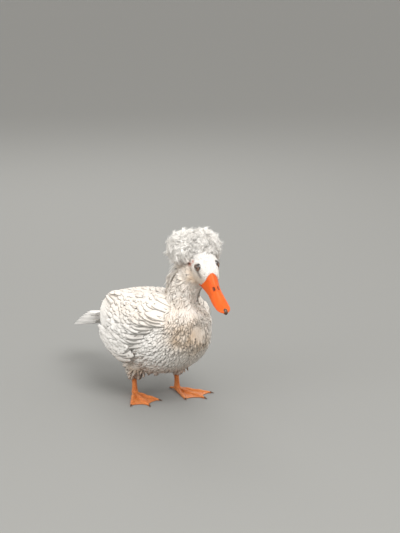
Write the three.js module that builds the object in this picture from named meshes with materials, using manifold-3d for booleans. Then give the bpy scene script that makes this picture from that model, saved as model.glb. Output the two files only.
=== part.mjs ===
// A white crested duck, standing still, at its real size in millimetres.
// The duck faces +X with +Y on its left and +Z up, and its soles lie on z = 0.
// Its neck is raised and its head is turned a little to its right, with the bill pointing down.
import * as THREE from "three";
import { ParametricGeometry } from "three/addons/geometries/ParametricGeometry.js";
import { mergeVertices } from "three/addons/utils/BufferGeometryUtils.js";
import Module from "manifold-3d";

const wasm = await Module();
wasm.setup();

const { cos, sin, PI, abs, sign, min, max, sqrt } = Math;
const radians = THREE.MathUtils.degToRad;
const lerp = THREE.MathUtils.lerp;
const clamp = THREE.MathUtils.clamp;
const vec = (x, y, z) => new THREE.Vector3(x, y, z);

// Driving dimensions of the whole duck.
const seam = 0.36; // clear space between two neighbouring pieces
const originX = -12.91; // middle of the duck's overall box, which is its origin
const originY = 0;
const bodyTilt = radians(9); // breast carried higher than the tail
const bodyHeight = 113; // middle of the torso above the floor
const torsoFront = 120; // middle of the torso to the point of the breast
const torsoRear = 134; // middle of the torso to its rounded rear end
const torsoWidth = 68; // half the width of the torso under the wings
const torsoBack = 60; // middle line up to the back
const torsoBelly = 73; // middle line down to the belly

// Materials, one for each kind of surface.
const surface = (color, roughness) => new THREE.MeshStandardMaterial({ color, roughness, metalness: 0 });
const white = surface("#e9e4dc", 0.85);
const cream = surface("#d9c7b0", 0.85);
const orange = surface("#d9560f", 0.45);
const legOrange = surface("#c8551c", 0.55);
const horn = surface("#5b3a26", 0.5);
const eyeBrown = surface("#1d130d", 0.12);

// A closed surface as a solid: the seam and the poles are merged, and collapsed faces are dropped.
// Where it has to cut its neighbours it is grown outwards along its normals by a clearance.
function solidFrom(geometry, matrix, grow = 0) {
  const bare = new THREE.BufferGeometry();
  bare.setAttribute("position", geometry.getAttribute("position").clone());
  bare.setIndex(geometry.index ? geometry.index.clone() : null);
  if (matrix) bare.applyMatrix4(matrix);
  const merged = mergeVertices(bare, 1e-3);
  const corners = merged.index.array;
  const kept = [];
  for (let i = 0; i < corners.length; i += 3) {
    const [a, b, c] = [corners[i], corners[i + 1], corners[i + 2]];
    if (a !== b && b !== c && c !== a) kept.push(a, b, c);
  }
  const vertProperties = merged.attributes.position.array;
  const build = () => {
    const triVerts = new Uint32Array(kept);
    return new wasm.Manifold(new wasm.Mesh({ numProp: 3, vertProperties, triVerts }));
  };
  if (build().volume() < 0) {
    for (let i = 0; i < kept.length; i += 3) [kept[i + 1], kept[i + 2]] = [kept[i + 2], kept[i + 1]];
  }
  if (grow > 0) {
    merged.setIndex(kept);
    merged.computeVertexNormals();
    const normals = merged.attributes.normal.array;
    for (let i = 0; i < vertProperties.length; i++) vertProperties[i] += grow * normals[i];
  }
  return build();
}

// A surface of two parameters, along (0 to 1) and around (0 to 1), as a solid.
function gridSolid(pointAt, around, along, matrix, grow = 0) {
  const shape = (u, v, target) => target.copy(pointAt(v, u));
  return solidFrom(new ParametricGeometry(shape, around, along), matrix, grow);
}

// The largest closed body of a solid, without loose scraps or sealed hollows.
function largest(solid) {
  const bodies = solid.decompose();
  bodies.sort((a, b) => b.volume() - a.volume());
  return bodies[0];
}

function join(pieces) {
  return pieces.reduce((all, piece) => all.add(piece));
}

function cut(solid, ...cutters) {
  return largest(cutters.reduce((left, cutter) => left.subtract(cutter), solid));
}

const duck = new THREE.Group();
const shift = new THREE.Matrix4().makeTranslation(-originX, -originY, 0);

function addPiece(name, solid, material) {
  const { numProp, vertProperties, triVerts } = solid.getMesh();
  const geometry = new THREE.BufferGeometry();
  const positions = new Float32Array((vertProperties.length / numProp) * 3);
  for (let i = 0; i < positions.length / 3; i++) {
    for (let k = 0; k < 3; k++) positions[3 * i + k] = vertProperties[numProp * i + k];
  }
  geometry.setAttribute("position", new THREE.BufferAttribute(positions, 3));
  geometry.setIndex(new THREE.BufferAttribute(new Uint32Array(triVerts), 1));
  geometry.applyMatrix4(shift);
  geometry.computeVertexNormals();
  const mesh = new THREE.Mesh(geometry, material);
  mesh.name = name;
  duck.add(mesh);
}

// One feather: a thin flat strip through a row of points, split alike on both faces.
// Each station holds its middle point, where its upper face looks, its half width and its thickness.
function vane(stations) {
  const positions = [];
  const faces = [];
  stations.forEach(({ at, up, half, thick }, i) => {
    const before = stations[max(i - 1, 0)].at;
    const after = stations[min(i + 1, stations.length - 1)].at;
    const ahead = vec(0, 0, 0).subVectors(after, before).normalize();
    const side = vec(0, 0, 0).crossVectors(up, ahead).normalize().multiplyScalar(half);
    const rise = vec(0, 0, 0).crossVectors(ahead, side).normalize().multiplyScalar(thick / 2);
    const corners = [
      at.clone().add(side).add(rise),
      at.clone().sub(side).add(rise),
      at.clone().sub(side).sub(rise),
      at.clone().add(side).sub(rise),
    ];
    corners.forEach((corner) => positions.push(corner.x, corner.y, corner.z));
  });
  for (let i = 0; i + 1 < stations.length; i++) {
    const [a, b, c, d] = [4 * i, 4 * i + 1, 4 * i + 2, 4 * i + 3];
    const [e, f, g, h] = [a + 4, b + 4, c + 4, d + 4];
    faces.push(a, e, b, b, e, f); // upper face
    faces.push(d, c, h, c, g, h); // lower face, split along the same diagonal
    faces.push(a, d, e, d, h, e); // left edge
    faces.push(b, f, c, c, f, g); // right edge
  }
  const end = 4 * (stations.length - 1);
  faces.push(0, 1, 2, 0, 2, 3);
  faces.push(end, end + 2, end + 1, end, end + 3, end + 2);
  const geometry = new THREE.BufferGeometry();
  geometry.setAttribute("position", new THREE.BufferAttribute(new Float32Array(positions), 3));
  geometry.setIndex(faces);
  return solidFrom(geometry);
}

// Where a feather has its stations, as shares of its length, and its width there as a share of its widest.
const featherStations = [0, 0.42, 0.78, 1];
const featherOutline = [0.7, 1, 0.86, 0.3];

// Seeded random numbers from 0 to 1.
function randomFrom(seed) {
  let state = seed;
  return () => {
    state = (state * 1664525 + 1013904223) % 4294967296;
    return state / 4294967296;
  };
}

// Torso: a boat-shaped body on a tilted axis. Its frame has s forward along the axis, y left and h up.
const bodyMatrix = new THREE.Matrix4()
  .makeTranslation(0, 0, bodyHeight)
  .multiply(new THREE.Matrix4().makeRotationY(-bodyTilt));
const rump = { width: 17, height: 11 }; // half sizes that the carrier surface keeps past the rear end

// How full the body is at s, from 1 at the middle to 0 at both ends.
function fullness(s) {
  if (s > 0) return max(1 - (min(s, torsoFront) / torsoFront) ** 2.5, 0) ** 0.5;
  return max(1 - (min(-s, torsoRear) / torsoRear) ** 2, 0) ** 0.5;
}

// The height of the middle line at s: it rises towards both ends, and runs level past the rear end.
const middleRise = { front: 13, rear: 26 };
function middleLine(s) {
  if (s > 0) return middleRise.front * (s / torsoFront) ** 2;
  return middleRise.rear * (max(s, -torsoRear) / torsoRear) ** 2;
}

// A point on the torso, lifted off it. The angle is 0 on the left side and 90 degrees on the back.
// With carrier true the surface runs on past the rear end, for the wings' feathers to lie on.
function torsoPoint(s, angle, lift, carrier = false) {
  const full = fullness(s);
  const width = carrier ? max(torsoWidth * full, rump.width) : torsoWidth * full;
  const up = carrier ? max(torsoBack * full, rump.height) : torsoBack * full;
  const down = carrier ? max(torsoBelly * full, rump.height) : torsoBelly * full;
  const power = 2 / 2.2;
  const y = width * sign(cos(angle)) * abs(cos(angle)) ** power;
  const h = (sin(angle) > 0 ? up : down) * sign(sin(angle)) * abs(sin(angle)) ** power;
  const length = sqrt(y * y + h * h) || 1;
  const grown = 1 + lift / length;
  return vec(s, y * grown, middleLine(s) + h * grown);
}

const torsoRings = 20;
const torsoSides = 24;

// The torso as a solid, grown by a clearance where it has to cut its neighbours.
function torsoSolid(grow = 0) {
  const shape = (along, around) => {
    const s = lerp(-torsoRear, torsoFront, (1 - cos(PI * along)) / 2);
    return torsoPoint(s, 2 * PI * around, 0);
  };
  return gridSolid(shape, torsoSides, torsoRings, bodyMatrix, grow);
}

const torso = torsoSolid();
const torsoCutter = torsoSolid(seam);

// Neck: an upright S through six rings, thick where it leaves the breast.
const neckStations = [
  { at: vec(56, 0, 112), radius: 47 },
  { at: vec(71, 0, 146), radius: 37 },
  { at: vec(69, 0, 173), radius: 29 },
  { at: vec(77, 2, 200), radius: 25.5 },
  { at: vec(92, 8, 225), radius: 24.5 },
  { at: vec(103, 12, 240), radius: 15 },
];
const neckCurve = new THREE.CatmullRomCurve3(neckStations.map((station) => station.at));

function neckRadius(share) {
  const place = share * (neckStations.length - 1);
  const i = min(Math.floor(place), neckStations.length - 2);
  const t = place - i;
  const smooth = t * t * (3 - 2 * t);
  return lerp(neckStations[i].radius, neckStations[i + 1].radius, smooth);
}

function neckSolid(grow = 0) {
  const shape = (along, around) => {
    const share = clamp((along - 0.04) / 0.92, 0, 1);
    const centre = neckCurve.getPoint(share);
    const tangent = neckCurve.getTangent(share);
    const forward = vec(tangent.z, 0, -tangent.x).normalize();
    const left = vec(0, 0, 0).crossVectors(tangent, forward).normalize();
    const open = along === 0 || along === 1 ? 0 : 1;
    const radius = neckRadius(share) * open;
    const angle = 2 * PI * around;
    return centre
      .add(forward.multiplyScalar(radius * 1.04 * cos(angle)))
      .add(left.multiplyScalar(radius * 0.97 * sin(angle)));
  };
  return gridSolid(shape, 18, 13, undefined, grow);
}

// Head: the frame has x forward to the bill, y left and z up, about the middle of the skull.
const headAt = vec(114, 16, 238);
const headYaw = radians(-13);
const headPitch = radians(23);
const headRoll = radians(7);
const headMatrix = new THREE.Matrix4()
  .makeTranslation(headAt.x, headAt.y, headAt.z)
  .multiply(new THREE.Matrix4().makeRotationZ(headYaw))
  .multiply(new THREE.Matrix4().makeRotationY(headPitch))
  .multiply(new THREE.Matrix4().makeRotationX(headRoll));
const head = { rear: 37, front: 30, width: 23, crown: 26, chin: 27 };
const face = { width: 12, top: 12.5, bottom: 21.5 }; // half sizes of the blunt end behind the bill

// The outline of the head at x: half width, height up and height down.
function headSection(x) {
  if (x < 0) {
    const full = max(1 - (-x / head.rear) ** 2.3, 0) ** 0.5;
    return { width: head.width * full, up: head.crown * full, down: head.chin * full };
  }
  const k = x / head.front;
  const fall = k ** 1.5;
  return {
    width: lerp(head.width, face.width, fall),
    up: lerp(head.crown, face.top, fall),
    down: lerp(head.chin, face.bottom, fall),
  };
}

function headPoint(x, angle) {
  const { width, up, down } = headSection(x);
  const power = 2 / 2.25;
  const y = width * sign(cos(angle)) * abs(cos(angle)) ** power;
  const z = (sin(angle) > 0 ? up : down) * sign(sin(angle)) * abs(sin(angle)) ** power;
  return vec(x, y, z);
}

const headRings = 14;
const headLastRing = (headRings - 1) / headRings; // the blunt front face closes past this share

function headSolid(grow = 0) {
  const shape = (along, around) => {
    if (along === 1) return vec(head.front, 0, -3);
    const share = min(along / headLastRing, 1);
    const x = lerp(-head.rear, head.front, (1 - cos(0.52 * PI * share)) / (1 - cos(0.52 * PI)));
    return headPoint(x, 2 * PI * around);
  };
  return gridSolid(shape, 20, headRings, headMatrix, grow);
}

// Eyes: dark balls deep in the sides of the head, each in a socket with a ring of lids round it.
const eye = { x: 9, y: 14.5, z: 12.5, radius: 6 };
const lid = { out: 18, ring: 5.3, thick: 1.25 };

function eyeSolid(side, grow = 0) {
  const ball = new THREE.SphereGeometry(eye.radius, 12, 8);
  const place = new THREE.Matrix4().makeTranslation(eye.x, side * eye.y, eye.z);
  return solidFrom(ball, headMatrix.clone().multiply(place), grow);
}

function lidSolid(side, grow = 0) {
  const ring = new THREE.TorusGeometry(lid.ring, lid.thick, 5, 12);
  const place = new THREE.Matrix4()
    .makeTranslation(eye.x, side * lid.out, eye.z)
    .multiply(new THREE.Matrix4().makeRotationZ(side * radians(8)))
    .multiply(new THREE.Matrix4().makeRotationX(side * radians(80)))
    .multiply(new THREE.Matrix4().makeScale(1.12, 0.94, 1));
  return solidFrom(ring, headMatrix.clone().multiply(place), grow);
}

// Bill: an upper half with a hollowed ridge and a spoon-shaped end, a thin lower half and a hard nail.
const bill = { x: 16, z: -14.5, drop: radians(2), length: 81, ridge: 33, lowerLength: 75 };
const billMatrix = headMatrix
  .clone()
  .multiply(new THREE.Matrix4().makeTranslation(bill.x, 0, bill.z))
  .multiply(new THREE.Matrix4().makeRotationY(bill.drop));

// Half the width of the bill at a share of its length: wide gape, slimmer middle, broad round end.
function billWidth(share) {
  const gape = 5.6 * max(1 - share / 0.36, 0) ** 1.3;
  const spoon = 1.1 * sin(PI * clamp((share - 0.35) / 0.62, 0, 1)) ** 2;
  const end = sqrt(max(1 - (max(share - 0.8, 0) / 0.2) ** 2.4, 0));
  return (10.4 + gape + spoon) * end;
}

// The height of the ridge over the mouth at a share of the length.
function billRidge(share) {
  const slope = 4.6 + (bill.ridge - 4.6) * max(1 - share / 0.9, 0) ** 1.35;
  return slope * sqrt(max(1 - (max(share - 0.86, 0) / 0.14) ** 2.5, 0));
}

// The mouth line dips a little in its middle and rises to the nail.
const mouthLine = (share) => -2.2 * sin(PI * clamp(share, 0, 1)) + 0.6;

function upperBillSolid() {
  const shape = (along, around) => {
    const share = (1 - cos(PI * along)) / 2;
    const angle = 2 * PI * around;
    const width = max(billWidth(share), 0);
    const ridge = billRidge(share);
    const open = along === 0 || along === 1 ? 0 : 1;
    const rise = sin(angle) > 0 ? ridge * sin(angle) ** 1.15 : 0.7 * sin(angle);
    return vec(share * bill.length, open * width * cos(angle), mouthLine(share) + open * rise);
  };
  return gridSolid(shape, 16, 13, billMatrix);
}

function lowerBillSolid() {
  const shape = (along, around) => {
    const share = (1 - cos(PI * along)) / 2;
    const angle = 2 * PI * around;
    const reach = (share * bill.lowerLength) / bill.length;
    const open = along === 0 || along === 1 ? 0 : 1;
    const width = max(billWidth(reach) - 0.9, 0) * sqrt(max(1 - max((share - 0.82) / 0.18, 0) ** 2, 0));
    const depth = lerp(7.5, 3.4, min(share * 1.3, 1));
    const drop = sin(angle) < 0 ? depth * abs(sin(angle)) ** 1.1 : -0.5 * sin(angle);
    return vec(share * bill.lowerLength, open * width * cos(angle), mouthLine(reach) - 1.9 - open * drop);
  };
  return gridSolid(shape, 14, 9, billMatrix);
}

// The nail is an oval shield bent over the tip of the upper half.
const nail = { length: 10, width: 4.1, thick: 1.2 };

function nailSolid(grow = 0) {
  const ball = new THREE.SphereGeometry(1, 12, 6);
  const squash = new THREE.Matrix4()
    .makeTranslation(bill.length - 3.6, 0, 1.4)
    .multiply(new THREE.Matrix4().makeRotationY(radians(32)))
    .multiply(new THREE.Matrix4().makeScale(nail.length / 2, nail.width, 2.6 * nail.thick));
  return solidFrom(ball, billMatrix.clone().multiply(squash), grow);
}

// A nostril is an oval hollow on each side of the ridge.
function nostrilSolid(side) {
  const ball = new THREE.SphereGeometry(1, 8, 5);
  const squash = new THREE.Matrix4()
    .makeTranslation(34, side * 5.8, 12.6)
    .multiply(new THREE.Matrix4().makeRotationY(radians(20)))
    .multiply(new THREE.Matrix4().makeScale(3.6, 3, 1.6));
  return solidFrom(ball, billMatrix.clone().multiply(squash));
}

const headCutter = join([headSolid(seam), lidSolid(1, seam), lidSolid(-1, seam)]);
const nailCutter = nailSolid(seam);
const headNode = largest(
  join([headSolid(), lidSolid(1), lidSolid(-1)])
    .subtract(eyeSolid(1, seam))
    .subtract(eyeSolid(-1, seam)),
);
const upperBill = cut(upperBillSolid(), headCutter, nailCutter, nostrilSolid(1), nostrilSolid(-1));
const lowerBill = cut(lowerBillSolid(), headCutter);
const neckNode = cut(neckSolid(), torsoCutter, headCutter);

// Crest: a core on the back of the skull, with loose feathers that spring out in two lobes and bend over.
const crest = { at: vec(-40, 0, 13), core: vec(16, 21, 17), reach: vec(32, 43, 35) };
Object.assign(crest, { count: 46, half: 7.4, longest: 40, sway: 8 });
const crestCentre = crest.at.clone().applyMatrix4(headMatrix);
const rootDepth = 0.6; // where the feathers are rooted, as a share of the core
const pole = vec(0, 0, 1);

function inHead(direction) {
  return direction.clone().transformDirection(headMatrix);
}

// One crest feather: it leaves the core outwards, then bends over and down by a whole angle.
function crestFeather(direction, length, half, bend, curl) {
  const root = direction.clone().multiply(crest.core).multiplyScalar(rootDepth).add(crest.at);
  root.applyMatrix4(headMatrix);
  const parting = 0.36 * sign(direction.y) * min(1, abs(direction.y) * 5);
  const out = inHead(vec(direction.x, direction.y + parting, direction.z));
  const fall = out.clone().multiplyScalar(out.dot(pole)).sub(pole).normalize();
  return vane(
    featherStations.map((t, i) => {
      const turned = bend * t;
      const ahead = out.clone().multiplyScalar(cos(turned)).add(fall.clone().multiplyScalar(sin(turned)));
      const up = out.clone().multiplyScalar(sin(turned)).sub(fall.clone().multiplyScalar(cos(turned)));
      const across = vec(0, 0, 0).crossVectors(ahead, up);
      const at = root
        .clone()
        .add(out.clone().multiplyScalar((length * sin(turned)) / bend))
        .add(fall.clone().multiplyScalar((length * (1 - cos(turned))) / bend))
        .add(across.multiplyScalar(curl * t * t));
      return { at, up, half: half * featherOutline[i], thick: lerp(1.3, 0.8, t) };
    }),
  );
}

function crestSolid() {
  const random = randomFrom(11);
  const core = solidFrom(
    new THREE.SphereGeometry(1, 14, 9),
    headMatrix
      .clone()
      .multiply(new THREE.Matrix4().makeTranslation(crest.at.x, crest.at.y, crest.at.z))
      .multiply(new THREE.Matrix4().makeScale(crest.core.x, crest.core.y, crest.core.z)),
  );
  const pieces = [core];
  for (let i = 0; i < crest.count; i++) {
    // Directions spread evenly by the golden angle over a ball, round an axis that points up and back.
    const rise = 1 - (1.5 * (i + 0.5)) / crest.count;
    const turn = i * 2.39996;
    const flat = sqrt(1 - rise * rise);
    const direction = vec(flat * cos(turn), flat * sin(turn), rise);
    direction.applyMatrix4(new THREE.Matrix4().makeRotationY(radians(-28)));
    const reach = direction.clone().multiply(crest.reach).length();
    const inside = direction.clone().multiply(crest.core).multiplyScalar(rootDepth).length();
    const bend = radians(lerp(80, 22, max(rise, 0))) * (0.75 + 0.5 * random());
    const length = min(((reach - inside) * bend * (0.94 + 0.16 * random())) / sin(bend), crest.longest);
    const half = crest.half * (0.85 + 0.3 * random());
    pieces.push(crestFeather(direction, length, half, bend, crest.sway * (random() - 0.5)));
  }
  return cut(join(pieces), headCutter, neckSolid(seam));
}

// Wings: a thick shoulder that holds the roots of the tiers of overlapping feathers behind it.
// A place on the wing is given by s along the body and q, from 0 near the back to 1 at the lower edge.
const wing = { front: 86, rear: -30, thick: 8, sunk: -3 };
const wingTop = radians(84);
const clearance = 1.5; // each feather's lower edge stands this far up over the next feather down

function wingAngle(s, q) {
  const t = clamp((wing.front - s) / (wing.front + torsoRear), 0, 1);
  const low = radians(lerp(26, -16, min(t / 0.34, 1))) + radians(46) * clamp((t - 0.34) / 0.66, 0, 1) ** 1.7;
  return lerp(wingTop, low, q);
}

function wingPoint(side, s, q, lift) {
  const point = torsoPoint(s, wingAngle(s, q), lift, true);
  point.y *= side;
  return point.applyMatrix4(bodyMatrix);
}

// The direction down the wing and the outward direction of its surface at a place.
function wingDirections(side, s, q) {
  const ahead = wingPoint(side, s + 1, q, 0).sub(wingPoint(side, s - 1, q, 0));
  const down = wingPoint(side, s, q + 0.02, 0)
    .sub(wingPoint(side, s, q - 0.02, 0))
    .normalize();
  const out = vec(0, 0, 0).crossVectors(ahead, down).normalize().multiplyScalar(side);
  return { down, out };
}

// The width of a wing feather, from its hidden root to its rounded tip.
const wingStations = [0, 0.3, 0.62, 0.87, 1];
const wingOutline = [0.85, 1, 1, 0.8, 0.3];

// One feather of a tier. Its width follows the distance to its neighbour, so that each one laps over
// the next below it, and its lower edge stands up just enough to clear that neighbour.
function wingFeather(side, tier, i) {
  const place = (t, row) => {
    const k = row / (tier.count - 1);
    return {
      s: lerp(lerp(tier.root[0], tier.root[2], k), lerp(tier.tip[0], tier.tip[2], k), t),
      q: lerp(lerp(tier.root[1], tier.root[3], k), lerp(tier.tip[1], tier.tip[3], k), t),
    };
  };
  const neighbour = i + 1 < tier.count ? i + 1 : i - 1;
  return vane(
    wingStations.map((t, n) => {
      const here = place(t, i);
      const beside = place(t, neighbour);
      const { down, out } = wingDirections(side, here.s, here.q);
      const lift = lerp(tier.lifts[0], tier.lifts[1], t);
      const at = wingPoint(side, here.s, here.q, lift);
      const gap = abs(wingPoint(side, beside.s, beside.q, lift).sub(at).dot(down));
      const half = min(tier.lap * gap, tier.half) * wingOutline[n];
      const tilt = min(clearance / max(gap, 4) + 0.004 * gap, 0.32);
      const up = out.multiplyScalar(cos(tilt)).sub(down.multiplyScalar(sin(tilt)));
      return { at, up, half, thick: 1 };
    }),
  );
}

function wingCore(side) {
  const shape = (along, around) => {
    const s = lerp(wing.front, wing.rear, along);
    const q = 0.5 - 0.5 * cos(2 * PI * around);
    const open = along === 0 || along === 1 ? 0 : 1;
    const bulge = wing.thick * min(sin(PI * min(along * 1.05, 0.95)) * 1.5, 1) ** 0.6;
    const rise = around < 0.5 ? 0 : (bulge - wing.sunk) * sin(2 * PI * (around - 0.5)) ** 0.5;
    const spread = min(1, 4 * along + 0.35);
    return wingPoint(side, s, lerp(0.5, q, open * spread), wing.sunk + open * rise);
  };
  return gridSolid(shape, 14, 7);
}

// Each tier is a row of feathers: where the first and last root and tip lie as s and q, how many there
// are, how far they lap as a share of their spacing, their greatest half width, and how far the roots and
// the tips stand off the body.
const tiers = [
  { count: 4, root: [-18, 0.8, -20, 0.5], tip: [-146, 0.62, -186, 0.16], lap: 0.8, half: 10, lifts: [1.6, 3] },
  { count: 7, root: [-12, 0.95, -16, 0.36], tip: [-84, 0.97, -132, 0.36], lap: 0.8, half: 11, lifts: [4.2, 7.4] },
  { count: 3, root: [-12, 0.4, -8, 0.1], tip: [-128, 0.36, -106, 0.1], lap: 0.78, half: 11, lifts: [5, 11.4] },
  { count: 7, root: [18, 0.94, 8, 0.14], tip: [-38, 0.96, -50, 0.14], lap: 0.8, half: 11, lifts: [5.4, 12.6] },
];

function wingSolid(side) {
  const pieces = [wingCore(side)];
  for (const tier of tiers) {
    for (let i = 0; i < tier.count; i++) pieces.push(wingFeather(side, tier, i));
  }
  return cut(join(pieces), torsoCutter);
}

// Tail: a flat root behind the rump that carries the fan of tail feathers and its covering feathers.
const tail = { root: vec(-122, 0, 19), droop: radians(5), length: 92, half: 11, pairs: 7 };
const tailMatrix = bodyMatrix
  .clone()
  .multiply(new THREE.Matrix4().makeTranslation(tail.root.x, tail.root.y, tail.root.z))
  .multiply(new THREE.Matrix4().makeRotationY(-tail.droop))
  .multiply(new THREE.Matrix4().makeRotationZ(PI));

// A feather of the tail: yaw spreads it in the fan, and the drop and roll arch the fan.
function tailFeather({ start, yaw, length, half, height, roll, pitch, drop = 0 }) {
  const ahead = vec(cos(yaw) * cos(pitch), sin(yaw) * cos(pitch), sin(pitch));
  const up = vec(0, -sin(roll), cos(roll)).normalize();
  return vane(
    featherOutline.map((width, i) => {
      const t = featherStations[i];
      const settle = 0.35 + 0.65 * min(t / 0.35, 1);
      const at = vec(start.x, start.y, start.z + height - drop * settle);
      at.add(ahead.clone().multiplyScalar(length * t));
      return {
        at: at.applyMatrix4(tailMatrix),
        up: up.clone().transformDirection(tailMatrix),
        half: half * width,
        thick: 0.9,
      };
    }),
  );
}

function tailCore() {
  const shape = (along, around) => {
    const reach = lerp(-20, 44, along);
    const open = along === 0 || along === 1 ? 0 : 1;
    const angle = 2 * PI * around;
    const width = lerp(30, 20, along);
    const high = lerp(15, 4.5, along);
    const low = lerp(20, 5, along);
    const z = (sin(angle) > 0 ? high : low) * sin(angle);
    return vec(reach, open * width * cos(angle), open * z - 4 * (1 - along));
  };
  return gridSolid(shape, 12, 5, tailMatrix);
}

function tailSolid() {
  const pieces = [tailCore()];
  for (let j = 0; j < tail.pairs; j++) {
    for (const side of [-1, 1]) {
      const spread = side * (j + 0.5);
      pieces.push(
        tailFeather({
          start: vec(8, spread * 2.1, 0),
          yaw: radians(spread * 3.5),
          length: tail.length - 2.6 * j,
          half: tail.half,
          height: 2.2,
          drop: 2.45 * j + (side > 0 ? 1.25 : 0),
          roll: radians(spread * 1.1),
          pitch: radians(1.5),
        }),
      );
    }
  }
  // Covering feathers above and below the root of the fan, in one row each.
  const covers = [
    { count: 5, from: 2, width: 17, fan: 7, length: 50, height: 5.4, pitch: 2 },
    { count: 5, from: 0, width: 14, fan: 5, length: 58, height: -9, pitch: -1 },
  ];
  for (const row of covers) {
    for (let i = 0; i < row.count; i++) {
      const across = row.count > 1 ? (2 * i) / (row.count - 1) - 1 : 0;
      pieces.push(
        tailFeather({
          start: vec(row.from, across * row.width, 0),
          yaw: radians(across * row.fan * 1.6),
          length: row.length - 5 * abs(across),
          half: 9,
          height: row.height - 3.2 * across * across - 1.3 * (i % 2),
          roll: radians(across * 14),
          pitch: radians(row.pitch),
        }),
      );
    }
  }
  return cut(join(pieces), torsoCutter);
}

// Legs: a feathered thigh, a bare shank and a webbed foot with three long toes and a short hind toe.
const leg = { x: -2, y: 36, thighTop: 62, hock: 34, shankRadius: 4.6 };
const stride = { left: 12, right: -8 }; // the left foot stands a little ahead

function legFoot(side) {
  return vec(leg.x + (side > 0 ? stride.left : stride.right), side * leg.y, 0);
}

function thighSolid(side, grow = 0) {
  const foot = legFoot(side);
  const shape = (along, around) => {
    const angle = 2 * PI * around;
    const open = along === 0 || along === 1 ? 0 : 1;
    const t = clamp((along - 0.05) / 0.9, 0, 1);
    const radius = lerp(8.5, 24, t ** 0.8) * open;
    const height = lerp(leg.hock, leg.thighTop, t);
    const middle = vec(lerp(foot.x - 8, foot.x + 4, t), foot.y - side * 3 * t, height);
    return middle.add(vec(radius * 1.1 * cos(angle), radius * 0.85 * sin(angle), 0));
  };
  return gridSolid(shape, 16, 8, undefined, grow);
}

function shankSolid(side, grow = 0) {
  const foot = legFoot(side);
  const top = vec(foot.x - 9, foot.y, leg.hock + 6);
  const ankle = vec(foot.x - 6, foot.y, 7.2);
  const shape = (along, around) => {
    const t = clamp((along - 0.05) / 0.9, 0, 1);
    const angle = 2 * PI * around;
    const open = along === 0 || along === 1 ? 0 : 1;
    const knob = 1.5 * (1 - t) ** 6 + 1.7 * max(t - 0.75, 0) * 4 * t;
    const radius = (leg.shankRadius - 0.5 * sin(PI * t) + knob) * open;
    return vec(0, 0, 0)
      .lerpVectors(ankle, top, t)
      .add(vec(radius * 1.12 * cos(angle), radius * 0.9 * sin(angle), 0));
  };
  return gridSolid(shape, 12, 8, undefined, grow);
}

// The three front toes: their turn from straight ahead and their length, inner toe first.
const toes = [
  { turn: -27, length: 55, radius: 3.6 },
  { turn: 2, length: 68, radius: 4 },
  { turn: 29, length: 62, radius: 3.7 },
];
const footTurn = radians(9); // toes point a little outwards
const web = { thick: 1.7 };

function footSolid(side) {
  const foot = legFoot(side);
  const heel = vec(foot.x - 8, foot.y, 0);
  const toeEnd = ({ turn, length }, share) => {
    const a = side * (radians(turn) + footTurn);
    return vec(heel.x + length * share * cos(a), heel.y + length * share * sin(a), 0);
  };
  // The web: its front edge hangs inwards between the toes' tips.
  const outline = new THREE.Shape();
  const [inner, centre, outer] = toes.map((toe) => toeEnd(toe, 0.93));
  const between = (a, b) => a.clone().lerp(b, 0.5).lerp(heel, 0.16);
  outline.moveTo(heel.x - 2, heel.y - side * 3);
  outline.lineTo(inner.x, inner.y);
  const firstBay = between(inner, centre);
  outline.quadraticCurveTo(firstBay.x, firstBay.y, centre.x, centre.y);
  const secondBay = between(centre, outer);
  outline.quadraticCurveTo(secondBay.x, secondBay.y, outer.x, outer.y);
  outline.lineTo(heel.x - 2, heel.y + side * 3);
  const thickness = { depth: web.thick, bevelEnabled: false, curveSegments: 5 };
  const pieces = [solidFrom(new THREE.ExtrudeGeometry(outline, thickness))];
  // A toe is a knuckled finger that thins to its claw and is cut flat by the floor.
  const finger = (from, to, radius, knuckles) => {
    const across = vec(to.y - from.y, from.x - to.x, 0).normalize();
    const shape = (along, around) => {
      const angle = 2 * PI * around;
      const open = along === 0 || along === 1 ? 0 : 1;
      const thin = lerp(1, 0.55, along) * (along > 0.88 ? 0.6 : 1);
      const swell = 1 + 0.13 * cos(2 * PI * knuckles * along);
      const size = radius * thin * swell * open;
      const middle = vec(0, 0, size * 1.05 * sin(angle)).add(across.clone().multiplyScalar(size * cos(angle)));
      return middle.add(vec(0, 0, 0).lerpVectors(from, to, along));
    };
    return gridSolid(shape, 8, 7);
  };
  for (const toe of toes) {
    const tip = toeEnd(toe, 1.06);
    pieces.push(finger(vec(heel.x, heel.y, 3.2), vec(tip.x, tip.y, 0.9), toe.radius, 3));
  }
  pieces.push(finger(vec(heel.x + 2, heel.y, 4), vec(heel.x - 15, heel.y - side * 5, 2), 2.8, 1));
  const ankle = new THREE.SphereGeometry(6.2, 10, 6);
  pieces.push(solidFrom(ankle, new THREE.Matrix4().makeTranslation(foot.x - 6.5, foot.y, 4.6)));
  const floor = new THREE.BoxGeometry(300, 300, 40);
  const below = solidFrom(floor, new THREE.Matrix4().makeTranslation(foot.x, foot.y, -20));
  return cut(join(pieces).subtract(below), shankSolid(side, seam));
}

addPiece("torso", torso, white);
addPiece("neck", neckNode, cream);
addPiece("head", headNode, cream);
addPiece("crest", crestSolid(), white);
addPiece("bill_upper", upperBill, orange);
addPiece("bill_lower", lowerBill, orange);
addPiece("bill_nail", largest(nailSolid()), horn);
const neckCutter = neckSolid(seam);
for (const [side, word] of [
  [1, "left"],
  [-1, "right"],
]) {
  addPiece(`eye_${word}`, eyeSolid(side), eyeBrown);
  addPiece(`wing_${word}`, cut(wingSolid(side), neckCutter), white);
  addPiece(`thigh_${word}`, cut(thighSolid(side), torsoCutter), white);
  addPiece(`shank_${word}`, cut(shankSolid(side), thighSolid(side, seam)), legOrange);
  addPiece(`foot_${word}`, footSolid(side), legOrange);
}
addPiece("tail", tailSolid(), white);

export default duck;
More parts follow.
